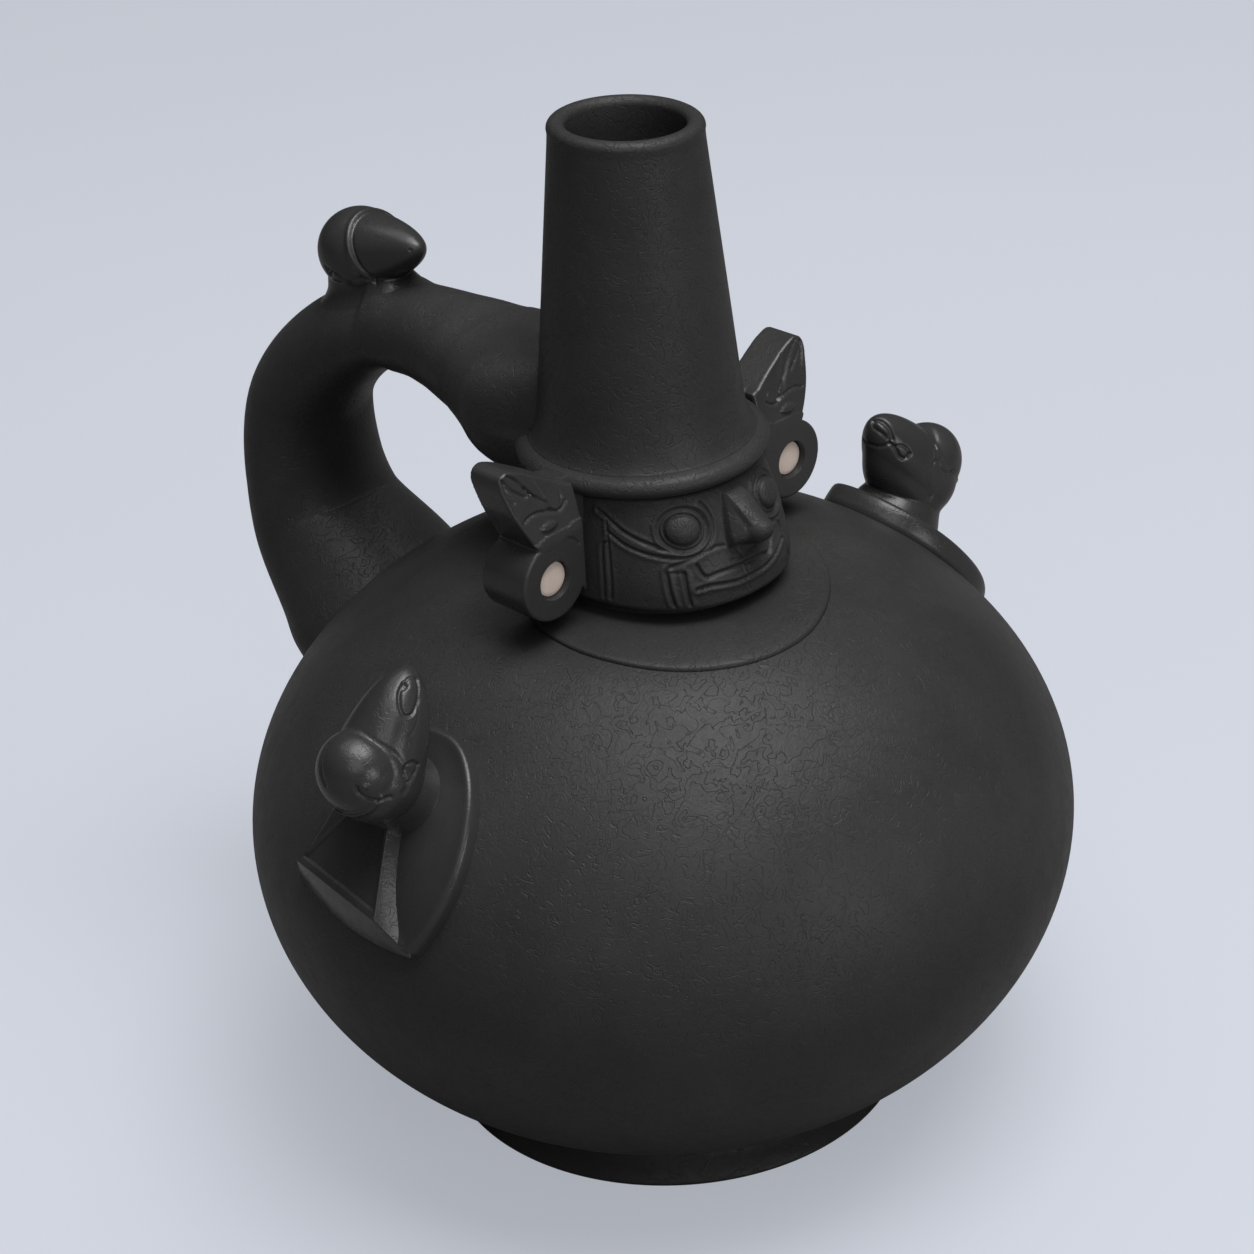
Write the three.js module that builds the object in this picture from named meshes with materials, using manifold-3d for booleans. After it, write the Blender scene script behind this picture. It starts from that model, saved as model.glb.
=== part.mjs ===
// Blackware bottle: a hollow globe on a ring foot, with a face at the foot of its tapering spout,
// a loop handle with a small bird's head on it, and a figure on each side. Millimetres, +Z up,
// the face looks towards -Y, the handle is at +Y, and X = 0 is the plane of symmetry.
// Every piece is one that a potter makes by itself and lutes to its neighbour, so each one is
// a body of its own with a luting gap of 0.3 mm.

import * as THREE from 'three';
import { mergeVertices } from 'three/addons/utils/BufferGeometryUtils.js';
import Module from 'manifold-3d';

const wasm = await Module();
wasm.setup();

// Driving dimensions of the globe
const globeRadius = 80;
const globeRise = 59;
const globeDrop = 60.5;
const globeFloorHeight = 3;
const globeFloorRadius = 31.07;
const globeWall = 4;
const shoulderBendRadius = 46;
const shoulderRise = 52.1;
const shoulderFlatRadius = 26;
const throatRadius = 12.5;
const lutingGap = 0.3;

// Driving dimensions of the foot ring
const footBottomRadius = 46.6;
const footWaistRadius = 42.6;
const footSeatStep = 1.01;
const footInnerRadius = 36;
const footEdgeRounding = 1;
const footFlareReach = 1.2;
const footFlareRise = 2;
const footFlareEase = 0.4;

// Driving dimensions of the collar on the shoulder
const collarRadius = 28.5;
const collarForward = 13;
const collarThickness = 0.9;

// Driving dimensions of the drum that carries the face
const drumNeckHalfWidth = 19.5;
const drumNeckFront = 23;
const drumNeckHeight = 2.2;
const drumHeight = 23.7;
const drumHalfWidth = 22.4;
const drumFront = 28;
const drumSquareness = 2.25;
const drumTopHalfWidth = 20.8;
const drumTopFront = 21.6;
const drumLipHeight = 0.4;
const drumLipRounding = 1;
const drumLipInset = 0.7;
const drumLipFrontInset = 0.9;

// Driving dimensions of the spout and of the brow ring at its foot
const spoutHeight = 63.9;
const spoutFootRadius = 19.9;
const spoutTopRadius = 13.6;
const spoutFootBore = 14.5;
const lipRadius = 14;
const lipBore = 10.66;
const lipHeight = 2.2;
const browRingWidth = 3.1;
const browRingHeight = 4.2;

// Driving dimensions of the ears and their inlaid discs
const earInner = 23.6;
const earDiscOut = 31.6;
const earDiscRise = 12;
const earDiscRadius = 7.8;
const earFront = 8.2;
const earThickness = 11;
const earTipThickness = 8;
const wingTipOut = 39.1;
const wingTipRise = 34.2;
const wingRootRise = 27.9;
const wingNotchOut = 35;
const wingTipRounding = 2.2;
const wingBulge = 3;
const earRootSetback = 3;
const inlayRadius = 3.05;
const inlayThickness = 1.2;
const inlayDepth = 1.1;
const inlayDome = 0.25;
const recessMouthRadius = 3.95;

// Driving dimensions of the eyes and the nose
const eyeOut = 10.9;
const eyeDrop = 5.8;
const eyeBallRadius = 3.4;
const eyeBallRise = 1.8;
const eyeRimRadius = 5.8;
const eyeRimThickness = 0.8;
const eyeRimInset = 0.5;
const eyeMoatWidth = 0.7;
const eyeMoatHeight = 0.15;
const eyeRootDepth = 3;
const noseTipDrop = 8.1;
const noseBridgeDrop = 1.4;
const noseReach = 4.6;
const noseHalfWidth = 5.9;
const noseEdgeDrop = 1.2;
const noseUnderDrop = 2.4;
const noseRootDepth = 4;

// Driving dimensions of the loop handle
const handleSeatAngle = 21;
const handleReach = 18.2;
const handleCrestRise = 31.8;
const handleCrestOut = 58;
const handleSpoutRise = 24.5;
const handleSeatHalfWidth = 26;
const handleBackHalfWidth = 15.6;
const handleCrestHalfWidth = 11.4;
const handleSpoutHalfWidth = 18.5;
const handleFlatness = 0.8;
const handleRootSink = 6;
const handleRootDrop = 14;
const handleRootSwell = 8.3;
const handleBackRise = 14;
const handleBackInset = 2;
const handleShoulderInset = 0.6;
const handleShoulderLift = 8;
const handleBendDrop = 4.6;
const handleNeckDrop = 1.5;
const handleNeckShift = 1;
const handleSpoutSink = 2;

// Driving dimensions of the bird's head on the handle
const birdHeadOut = 75.9;
const birdHeadRise = 45.2;
const birdHeadRadius = 8.4;
const birdBeakLength = 19;
const birdBeakPitch = 13;
const birdBeakTipRadius = 2.2;
const birdBeakBaseRadius = 7.2;
const birdNeckRadius = 7.3;
const birdNeckFlare = 1.4;

// Driving dimensions of the two side figures
const figureTurn = 87;
const figureAngle = 33.5;
const plaqueTop = 14.7;
const plaqueFront = 16.4;
const plaqueToeForward = 11.4;
const plaqueToeDrop = 23.9;
const plaqueHeelBack = 19.4;
const plaqueHeelDrop = 17.5;
const plaqueThickness = 3;
const plaqueFootShift = 3.8;
const plaqueFootSag = 1.9;
const figureHeadUp = 2.2;
const figureNeckRadius = 5.4;
const figureNeckFlare = 2.2;
const ballRadius = 7.6;
const ballLift = 16;
const muzzleLength = 22.3;
const muzzleLift = 13.6;
const muzzleRootRadius = 7.3;
const muzzleTipRadius = 3.6;
const muzzleRootDrop = 2;
const muzzleTipLift = 1;
const figureNeckSink = 4;
const tailApexDrop = 5.5;
const tailApexLift = 7;
const tailRimLift = 3.6;
const tailRimInset = 3.8;
const tailFootInset = 0.9;
const tailRootForward = 2;

// Facets
const globeFacets = 52;
const drumFacets = 44;
const spoutFacets = 40;
const smallFacets = 14;

// Heights that follow from the driving dimensions
const floorShare = globeFloorRadius / globeRadius;
const equatorHeight = globeFloorHeight + globeDrop * Math.sqrt(1 - floorShare ** 2);
const shoulderTop = equatorHeight + shoulderRise;
const drumBottom = shoulderTop + lutingGap;
const drumTop = drumBottom + drumHeight;
const eyeRise = drumHeight - eyeDrop;
const noseTipRise = drumHeight - noseTipDrop;
const noseBridgeRise = drumHeight - noseBridgeDrop;
const spoutBottom = drumTop + lutingGap;
const spoutTop = spoutBottom + spoutHeight;

const clay = () => new THREE.MeshStandardMaterial({ color: 0x2b2b2c, roughness: 0.42, metalness: 0 });
const shell = () => new THREE.MeshStandardMaterial({ color: 0xd9cabf, roughness: 0.5, metalness: 0 });

const bottle = new THREE.Group();
bottle.name = 'bottle';

function toSolid(geometry) {
  const bare = geometry.clone();
  for (const name of Object.keys(bare.attributes)) {
    if (name !== 'position') bare.deleteAttribute(name);
  }
  const merged = mergeVertices(bare, 1e-4);
  const corners = merged.index.array;
  const kept = [];
  for (let i = 0; i < corners.length; i += 3) {
    const [a, b, c] = [corners[i], corners[i + 1], corners[i + 2]];
    if (a !== b && b !== c && c !== a) kept.push(a, b, c);
  }
  const mesh = new wasm.Mesh({
    numProp: 3,
    vertProperties: new Float32Array(merged.attributes.position.array),
    triVerts: new Uint32Array(kept),
  });
  return new wasm.Manifold(mesh);
}

function toGeometry(solid) {
  const mesh = solid.getMesh();
  const geometry = new THREE.BufferGeometry();
  geometry.setAttribute('position', new THREE.BufferAttribute(mesh.vertProperties, 3));
  geometry.setIndex(new THREE.BufferAttribute(mesh.triVerts, 1));
  geometry.computeVertexNormals();
  return geometry;
}

function addPiece(name, solid, material = clay()) {
  const mesh = new THREE.Mesh(toGeometry(solid), material);
  mesh.name = name;
  bottle.add(mesh);
  return solid;
}

// A body of revolution about Z from a profile of [radius, height] pairs
function revolve(profile, facets) {
  const points = profile.map(([radius, height]) => new THREE.Vector2(radius, height));
  const geometry = new THREE.LatheGeometry(points, facets);
  geometry.rotateX(Math.PI / 2);
  return toSolid(geometry);
}

// A closed skin over a stack of rings with equal counts of points; the ends are capped by fans,
// or the last ring joins the first when the stack closes on itself
function skin(rings, closed = false) {
  const count = rings[0].length;
  const positions = rings.flat().flatMap((p) => [p.x, p.y, p.z]);
  const index = [];
  const last = closed ? rings.length : rings.length - 1;
  for (let i = 0; i < last; i += 1) {
    const j = (i + 1) % rings.length;
    for (let k = 0; k < count; k += 1) {
      const n = (k + 1) % count;
      index.push(i * count + k, i * count + n, j * count + n);
      index.push(i * count + k, j * count + n, j * count + k);
    }
  }
  if (!closed) {
    for (const [ring, forwards] of [[0, false], [rings.length - 1, true]]) {
      const centre = new THREE.Vector3();
      rings[ring].forEach((p) => centre.addScaledVector(p, 1 / count));
      const hub = positions.length / 3;
      positions.push(centre.x, centre.y, centre.z);
      for (let k = 0; k < count; k += 1) {
        const n = (k + 1) % count;
        const pair = forwards ? [ring * count + k, ring * count + n] : [ring * count + n, ring * count + k];
        index.push(hub, pair[0], pair[1]);
      }
    }
  }
  const geometry = new THREE.BufferGeometry();
  geometry.setAttribute('position', new THREE.Float32BufferAttribute(positions, 3));
  geometry.setIndex(index);
  const solid = toSolid(geometry);
  return solid.volume() > 0 ? solid : toSolid(flipped(geometry));
}

function flipped(geometry) {
  const turned = geometry.clone();
  const corners = turned.index.array;
  for (let i = 0; i < corners.length; i += 3) {
    [corners[i + 1], corners[i + 2]] = [corners[i + 2], corners[i + 1]];
  }
  return turned;
}

function mirrored(solid) {
  return solid.mirror([1, 0, 0]);
}

// Points of the globe's outside, from the equator up to the flat of the shoulder
function upperOutline(grow, steps = 6) {
  const bendAngle = Math.acos(shoulderBendRadius / globeRadius);
  const outline = [];
  for (let i = 0; i <= steps; i += 1) {
    const angle = (bendAngle * i) / steps;
    outline.push([
      (globeRadius + grow) * Math.cos(angle),
      equatorHeight + (globeRise + grow) * Math.sin(angle),
    ]);
  }
  const [bendRadius, bendHeight] = outline[steps];
  const fall = (globeRise * Math.cos(bendAngle)) / (globeRadius * Math.sin(bendAngle));
  const top = shoulderTop + grow;
  const lead = Math.min((top - bendHeight) / fall, (bendRadius - shoulderFlatRadius) / 2) * 0.9;
  const bend = new THREE.CubicBezierCurve(
    new THREE.Vector2(bendRadius, bendHeight),
    new THREE.Vector2(bendRadius - lead, bendHeight + lead * fall),
    new THREE.Vector2(bendRadius - 1.6 * lead, top),
    new THREE.Vector2(shoulderFlatRadius, top),
  );
  const bendSteps = 4;
  for (let i = 1; i <= bendSteps; i += 1) {
    const p = bend.getPoint(i / bendSteps);
    outline.push([p.x, p.y]);
  }
  return outline;
}

// Points of the globe's outside, from the flat under it up to the equator
function lowerOutline(grow, steps = 8) {
  const floor = globeFloorHeight - grow;
  const start = Math.asin((equatorHeight - floor) / (globeDrop + grow));
  const outline = [];
  for (let i = 0; i <= steps; i += 1) {
    const angle = start * (1 - i / steps);
    outline.push([
      (globeRadius + grow) * Math.cos(angle),
      equatorHeight - (globeDrop + grow) * Math.sin(angle),
    ]);
  }
  return outline;
}

// The whole globe as a full body, grown by a distance, for seating other pieces on it
function globeBody(grow) {
  const profile = [[0, globeFloorHeight - grow], ...lowerOutline(grow)];
  profile.push(...upperOutline(grow).slice(1), [0, shoulderTop + grow]);
  return revolve(profile, globeFacets);
}

function lowerBowl() {
  const seam = equatorHeight - lutingGap / 2;
  const outside = lowerOutline(0);
  outside[outside.length - 1][1] = seam;
  const inside = lowerOutline(-globeWall, 6).reverse();
  inside[0][1] = seam;
  const profile = [[0, globeFloorHeight], ...outside, ...inside];
  profile.push([0, globeFloorHeight + globeWall]);
  return revolve(profile, globeFacets);
}

function upperBowl() {
  const seam = equatorHeight + lutingGap / 2;
  const outside = upperOutline(0);
  outside[0][1] = seam;
  const inside = upperOutline(-globeWall, 4).reverse();
  inside[inside.length - 1][1] = seam;
  const throat = [[throatRadius, shoulderTop], [throatRadius, shoulderTop - globeWall]];
  const profile = [...outside, ...throat, ...inside, outside[0]];
  return revolve(profile, globeFacets);
}

// Height of the globe's underside at a radius, grown by a distance
function undersideAt(radius, grow) {
  const share = radius / (globeRadius + grow);
  return equatorHeight - (globeDrop + grow) * Math.sqrt(1 - share ** 2);
}

function footRing() {
  const waistHeight = undersideAt(footWaistRadius, lutingGap) - footSeatStep;
  const flare = new THREE.CubicBezierCurve(
    new THREE.Vector2(footBottomRadius, footEdgeRounding),
    new THREE.Vector2(footBottomRadius - footFlareReach, footEdgeRounding + footFlareRise),
    new THREE.Vector2(footWaistRadius + footFlareEase, waistHeight - footFlareRise),
    new THREE.Vector2(footWaistRadius, waistHeight),
  );
  const corner = footEdgeRounding * (1 - Math.SQRT1_2);
  const profile = [[footInnerRadius, 0], [footBottomRadius - footEdgeRounding, 0]];
  profile.push([footBottomRadius - corner, corner]);
  const flareSteps = 4;
  for (let i = 0; i <= flareSteps; i += 1) {
    const p = flare.getPoint(i / flareSteps);
    profile.push([p.x, p.y]);
  }
  const seatSteps = 3;
  for (let i = 0; i <= seatSteps; i += 1) {
    const radius = footWaistRadius + ((footInnerRadius - footWaistRadius) * i) / seatSteps;
    profile.push([radius, undersideAt(radius, lutingGap)]);
  }
  profile.push(profile[0]);
  return revolve(profile, globeFacets);
}

// An oval ring of points about Z: a half-circle at the back and a half-oval towards the face
function ovalRing(halfWidth, front, height, squareness) {
  const ring = [];
  for (let k = 0; k < drumFacets; k += 1) {
    const turn = (2 * Math.PI * k) / drumFacets;
    const depth = Math.cos(turn) > 0 ? front : halfWidth;
    const power = 2 / squareness;
    const across = Math.sign(Math.sin(turn)) * Math.abs(Math.sin(turn)) ** power;
    const ahead = Math.sign(Math.cos(turn)) * Math.abs(Math.cos(turn)) ** power;
    ring.push(new THREE.Vector3(halfWidth * across, -depth * ahead, height));
  }
  return ring;
}

// Heights above the drum's foot with its half-width and its reach towards the face
function drumSections() {
  const lean = (share, from, to) => from + (to - from) * share;
  return [
    [0, drumNeckHalfWidth, drumNeckFront],
    [drumNeckHeight, drumNeckHalfWidth, drumNeckFront],
    [drumNeckHeight + drumLipHeight, drumHalfWidth - drumLipInset, drumFront - drumLipFrontInset],
    [drumNeckHeight + drumLipHeight + drumLipRounding, drumHalfWidth, drumFront],
    [drumHeight * 0.32, drumHalfWidth, lean(0.05, drumFront, drumTopFront)],
    [drumHeight * 0.55, lean(0.2, drumHalfWidth, drumTopHalfWidth), lean(0.36, drumFront, drumTopFront)],
    [drumHeight * 0.77, lean(0.5, drumHalfWidth, drumTopHalfWidth), lean(0.7, drumFront, drumTopFront)],
    [drumHeight, drumTopHalfWidth, drumTopFront],
  ];
}

function drumBody(grow) {
  const rings = drumSections().map(([rise, halfWidth, front], i, all) => {
    let height = drumBottom + rise;
    if (i === 0) height -= grow;
    if (i === all.length - 1) height += grow;
    const squareness = i === all.length - 1 || i < 2 ? 2 : drumSquareness;
    return ovalRing(halfWidth + grow, front + grow, height, squareness);
  });
  return skin(rings);
}

function faceDrum() {
  const bore = revolve([
    [0, drumBottom - drumHeight],
    [throatRadius, drumBottom - drumHeight],
    [throatRadius, drumTop + drumHeight],
    [0, drumTop + drumHeight],
  ], spoutFacets);
  return drumBody(0).subtract(bore);
}

function shoulderCollar() {
  const disc = revolve([
    [0, equatorHeight],
    [collarRadius, equatorHeight],
    [collarRadius, drumTop],
    [0, drumTop],
  ], drumFacets).translate([0, -collarForward, 0]);
  const top = globeBody(lutingGap + collarThickness);
  return disc.intersect(top).subtract(globeBody(lutingGap)).subtract(drumBody(lutingGap));
}

function spoutOutline(grow) {
  const slope = (spoutTopRadius - spoutFootRadius) / spoutHeight;
  const lipStart = spoutTop - lipHeight;
  const outline = [[spoutFootRadius + grow, spoutBottom - grow]];
  outline.push([spoutFootRadius + grow + slope * (spoutHeight - 2 * lipHeight), lipStart - lipHeight]);
  return outline.concat([[lipRadius + grow, lipStart]]);
}

function spoutPiece() {
  const outside = spoutOutline(0);
  const rimCentre = (lipRadius + lipBore) / 2;
  const rimHalf = (lipRadius - lipBore) / 2;
  const rim = [];
  const rimSteps = 5;
  for (let i = 0; i <= rimSteps; i += 1) {
    const turn = (Math.PI * i) / rimSteps;
    rim.push([rimCentre + rimHalf * Math.cos(turn), spoutTop - rimHalf + rimHalf * Math.sin(turn)]);
  }
  const profile = [...outside, ...rim, [lipBore, spoutTop - 2 * lipHeight], [spoutFootBore, spoutBottom]];
  profile.push(profile[0]);
  return revolve(profile, spoutFacets);
}

function spoutBody(grow) {
  const outside = spoutOutline(grow);
  return revolve([
    [0, spoutBottom - grow],
    ...outside,
    [lipRadius + grow, spoutTop + grow],
    [0, spoutTop + grow],
  ], spoutFacets);
}

// The ring round the foot of the spout, with its outer side a half-oval
function browRing(grow) {
  const inner = spoutFootRadius + lutingGap;
  const bottom = spoutBottom;
  const half = browRingHeight / 2;
  const profile = [[inner - grow, bottom - grow]];
  const ringSteps = 6;
  for (let i = 0; i <= ringSteps; i += 1) {
    const turn = -Math.PI / 2 + (Math.PI * i) / ringSteps;
    profile.push([
      inner + (browRingWidth + grow) * Math.cos(turn) ** 0.8,
      bottom + half + (half + grow) * Math.sin(turn),
    ]);
  }
  profile.push([inner - grow, bottom + browRingHeight + grow], [inner - grow, bottom - grow]);
  return revolve(profile, drumFacets);
}

// The ear's outline in the XZ plane, seen from the face side, with X away from the spout
function earOutline(inner) {
  const bottom = drumBottom;
  const centre = new THREE.Vector2(earDiscOut, bottom + earDiscRise);
  const tip = new THREE.Vector2(wingTipOut, bottom + wingTipRise);
  const notchTurn = Math.acos((wingNotchOut - earDiscOut) / earDiscRadius);
  const outline = new THREE.Shape();
  outline.moveTo(inner, bottom + wingRootRise);
  outline.lineTo(inner, centre.y);
  outline.lineTo(centre.x - earDiscRadius, centre.y);
  outline.absarc(centre.x, centre.y, earDiscRadius, Math.PI, 2 * Math.PI + notchTurn, false);
  outline.quadraticCurveTo(
    tip.x - wingTipRounding * 0.73,
    (centre.y + tip.y) / 2 + wingBulge,
    tip.x + wingTipRounding * 0.18,
    tip.y - wingTipRounding,
  );
  outline.quadraticCurveTo(
    tip.x + wingTipRounding * 0.14,
    tip.y,
    tip.x - wingTipRounding,
    tip.y - wingTipRounding * 0.09,
  );
  outline.lineTo(inner, bottom + wingRootRise);
  return outline;
}

function slab(outline, front, thickness, curveSegments = 7) {
  const settings = { depth: thickness, bevelEnabled: false, curveSegments };
  const geometry = new THREE.ExtrudeGeometry(outline, settings);
  geometry.rotateX(Math.PI / 2);
  geometry.translate(0, -front + thickness, 0);
  return toSolid(geometry);
}

function earPiece() {
  const bottom = drumBottom;
  const face = slab(earOutline(earInner), earFront, earRootSetback);
  const overlap = lutingGap / 30;
  const back = slab(
    earOutline(spoutFootRadius + 3 * lutingGap),
    earFront - earRootSetback + overlap,
    earThickness - earRootSetback,
  );
  const lean = (earThickness - earTipThickness) / (wingTipRise - earDiscRise);
  const trim = new THREE.Shape();
  const backFace = earThickness - earFront;
  const trimRise = wingTipRise + earThickness;
  trim.moveTo(backFace, bottom + earDiscRise);
  trim.lineTo(backFace + 2 * earThickness, bottom + earDiscRise);
  trim.lineTo(backFace + 2 * earThickness, bottom + trimRise);
  trim.lineTo(backFace - lean * (trimRise - earDiscRise), bottom + trimRise);
  const trimGeometry = new THREE.ExtrudeGeometry(trim, { depth: 2 * wingTipOut, bevelEnabled: false });
  const place = new THREE.Matrix4().makeBasis(
    new THREE.Vector3(0, 1, 0),
    new THREE.Vector3(0, 0, 1),
    new THREE.Vector3(1, 0, 0),
  );
  trimGeometry.applyMatrix4(place);
  const recess = new THREE.LatheGeometry([
    new THREE.Vector2(0, -inlayDepth),
    new THREE.Vector2(recessMouthRadius, -inlayDepth),
    new THREE.Vector2(recessMouthRadius, 0),
    new THREE.Vector2(inlayRadius + lutingGap, inlayDepth),
    new THREE.Vector2(inlayRadius + lutingGap, inlayDepth + inlayThickness + lutingGap),
    new THREE.Vector2(0, inlayDepth + inlayThickness + lutingGap),
  ], smallFacets);
  recess.translate(0, -earFront, 0);
  const cutter = toSolid(recess).translate([earDiscOut, 0, bottom + earDiscRise]);
  const ear = face.add(back).subtract(toSolid(trimGeometry)).subtract(cutter);
  return ear
    .subtract(drumBody(lutingGap))
    .subtract(browRing(lutingGap))
    .subtract(spoutBody(lutingGap))
    .subtract(globeBody(lutingGap + collarThickness + lutingGap));
}

function inlayPiece() {
  const disc = new THREE.LatheGeometry([
    new THREE.Vector2(0, 0),
    new THREE.Vector2(inlayRadius * 0.6, inlayDome * 0.35),
    new THREE.Vector2(inlayRadius, inlayDome),
    new THREE.Vector2(inlayRadius, inlayThickness),
    new THREE.Vector2(0, inlayThickness),
  ], smallFacets);
  disc.translate(0, inlayDepth - earFront, 0);
  return toSolid(disc).translate([earDiscOut, 0, drumBottom + earDiscRise]);
}

// Half-width and reach of the drum at a height above its foot
function drumAt(rise) {
  const sections = drumSections();
  let i = 1;
  while (i < sections.length - 1 && sections[i][0] < rise) i += 1;
  const [low, high] = [sections[i - 1], sections[i]];
  const share = (rise - low[0]) / (high[0] - low[0]);
  return [low[1] + (high[1] - low[1]) * share, low[2] + (high[2] - low[2]) * share];
}

// Depth of the drum's face in front of the axis, at a distance from the middle and a height
function faceDepth(across, rise) {
  const [halfWidth, front] = drumAt(rise);
  return front * (1 - (across / halfWidth) ** drumSquareness) ** (1 / drumSquareness);
}

function eyePiece() {
  const step = eyeRimThickness;
  const depth = faceDepth(eyeOut, eyeRise);
  const place = new THREE.Vector3(eyeOut, -depth, drumBottom + eyeRise);
  const normal = new THREE.Vector3(
    (faceDepth(eyeOut - step, eyeRise) - faceDepth(eyeOut + step, eyeRise)) / (2 * step),
    -1,
    (faceDepth(eyeOut, eyeRise - step) - faceDepth(eyeOut, eyeRise + step)) / (2 * step),
  ).normalize();
  const moat = eyeBallRadius + lutingGap;
  const profile = [[0, -eyeRootDepth], [eyeRimRadius, -eyeRootDepth], [eyeRimRadius, eyeRimThickness / 2]];
  profile.push([eyeRimRadius - eyeRimInset, eyeRimThickness], [moat + eyeMoatWidth, eyeRimThickness]);
  profile.push([moat, eyeMoatHeight]);
  const domeSteps = 3;
  for (let i = 1; i <= domeSteps; i += 1) {
    const bulge = (Math.PI / 2) * (i / domeSteps);
    const lift = (eyeBallRise - eyeMoatHeight) * Math.sin(bulge);
    profile.push([eyeBallRadius * Math.cos(bulge), eyeMoatHeight + lift]);
  }
  const geometry = new THREE.LatheGeometry(profile.map(([r, h]) => new THREE.Vector2(r, h)), smallFacets);
  geometry.applyQuaternion(new THREE.Quaternion().setFromUnitVectors(new THREE.Vector3(0, 1, 0), normal));
  geometry.translate(place.x, place.y, place.z);
  return toSolid(geometry).subtract(drumBody(lutingGap));
}

function nosePiece() {
  const [, bridgeFront] = drumAt(noseBridgeRise);
  const [, tipFront] = drumAt(noseTipRise);
  const middleRise = (noseBridgeRise + noseTipRise) / 2;
  const rows = [
    [noseBridgeRise + noseEdgeDrop, bridgeFront - noseRootDepth / 2, noseHalfWidth * 0.14, 0.6],
    [noseBridgeRise - noseEdgeDrop, bridgeFront + noseReach * 0.32, noseHalfWidth * 0.3, 0.8],
    [middleRise + noseEdgeDrop, tipFront + noseReach * 0.6, noseHalfWidth * 0.68, 0.62],
    [noseTipRise + noseEdgeDrop, tipFront + noseReach * 0.95, noseHalfWidth * 0.95, 0.5],
    [noseTipRise - noseEdgeDrop / 3, tipFront + noseReach, noseHalfWidth, 0.5],
    [noseTipRise - noseUnderDrop * 0.67, tipFront + noseReach * 0.8, noseHalfWidth * 0.9, 0.5],
    [noseTipRise - noseUnderDrop, tipFront - noseRootDepth / 2, noseHalfWidth * 0.6, 0.5],
  ];
  const acrossSteps = 11;
  const rings = rows.map(([rise, reach, halfWidth, sharp]) => {
    const ring = [];
    const root = Math.min(bridgeFront, tipFront) - noseRootDepth;
    for (let k = 0; k <= acrossSteps; k += 1) {
      const turn = -Math.PI / 2 + (Math.PI * k) / acrossSteps;
      const across = Math.sin(turn) * halfWidth;
      const out = root + (reach - root) * Math.abs(Math.cos(turn)) ** sharp;
      ring.push(new THREE.Vector3(across, -out, drumBottom + rise));
    }
    return ring;
  });
  return skin(rings).subtract(drumBody(lutingGap));
}

// A sweep of oval sections along a curve in the plane X = 0
function handleCurve() {
  const seat = THREE.MathUtils.degToRad(handleSeatAngle);
  const seatOut = globeRadius * Math.cos(seat);
  const seatHeight = equatorHeight + globeRise * Math.sin(seat);
  const reach = globeRadius + handleReach;
  const crest = shoulderTop + handleCrestRise;
  const neckOut = (handleCrestOut + spoutFootRadius) / 2 + handleNeckShift;
  return new THREE.CatmullRomCurve3([
    new THREE.Vector3(0, seatOut - handleRootSink, seatHeight - handleRootDrop),
    new THREE.Vector3(0, seatOut + handleRootSwell, seatHeight),
    new THREE.Vector3(0, reach - handleBackInset, seatHeight + handleBackRise),
    new THREE.Vector3(0, reach - handleShoulderInset, (seatHeight + crest) / 2 + handleShoulderLift),
    new THREE.Vector3(0, (reach + handleCrestOut) / 2, crest - handleBendDrop),
    new THREE.Vector3(0, handleCrestOut, crest),
    new THREE.Vector3(0, neckOut, crest - handleNeckDrop),
    new THREE.Vector3(0, spoutFootRadius - handleSpoutSink, shoulderTop + handleSpoutRise),
  ]);
}

function handleHalfWidth(share) {
  const widths = [handleSeatHalfWidth, handleBackHalfWidth, handleCrestHalfWidth, handleSpoutHalfWidth];
  const curve = new THREE.CatmullRomCurve3(widths.map((w, i) => new THREE.Vector3(i, w, 0)));
  return curve.getPoint(share).y;
}

function handleSection(share, grow) {
  const curve = handleCurve();
  const centre = curve.getPoint(share);
  const along = curve.getTangent(share);
  const out = new THREE.Vector3(0, -along.z, along.y);
  const halfWidth = handleHalfWidth(share) + grow;
  const halfDepth = handleHalfWidth(share) * handleFlatness + grow;
  const ring = [];
  for (let k = 0; k < smallFacets; k += 1) {
    const turn = (2 * Math.PI * k) / smallFacets;
    const point = centre.clone().addScaledVector(out, halfDepth * Math.sin(turn));
    point.x += halfWidth * Math.cos(turn);
    ring.push(point);
  }
  return ring;
}

function handleBody(grow) {
  const rings = [];
  const steps = 24;
  for (let i = 0; i <= steps; i += 1) rings.push(handleSection(i / steps, grow));
  return skin(rings);
}

function handlePiece() {
  return handleBody(0)
    .subtract(globeBody(lutingGap))
    .subtract(drumBody(lutingGap))
    .subtract(browRing(lutingGap))
    .subtract(spoutBody(lutingGap))
    .subtract(collarKeepOut());
}

// The room that the collar takes up, with its gap
function collarKeepOut() {
  return revolve([
    [0, equatorHeight],
    [collarRadius + lutingGap, equatorHeight],
    [collarRadius + lutingGap, drumTop],
    [0, drumTop],
  ], drumFacets)
    .translate([0, -collarForward, 0])
    .intersect(globeBody(2 * lutingGap + collarThickness));
}

// A body round a line from one point to another, with a radius at each share of the way
function turned(from, to, stations) {
  const along = to.clone().sub(from);
  const points = stations.map(([share, radius]) => new THREE.Vector2(radius, share * along.length()));
  const geometry = new THREE.LatheGeometry(points, smallFacets);
  geometry.applyQuaternion(new THREE.Quaternion().setFromUnitVectors(
    new THREE.Vector3(0, 1, 0),
    along.clone().normalize(),
  ));
  geometry.translate(from.x, from.y, from.z);
  return toSolid(geometry);
}

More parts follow.
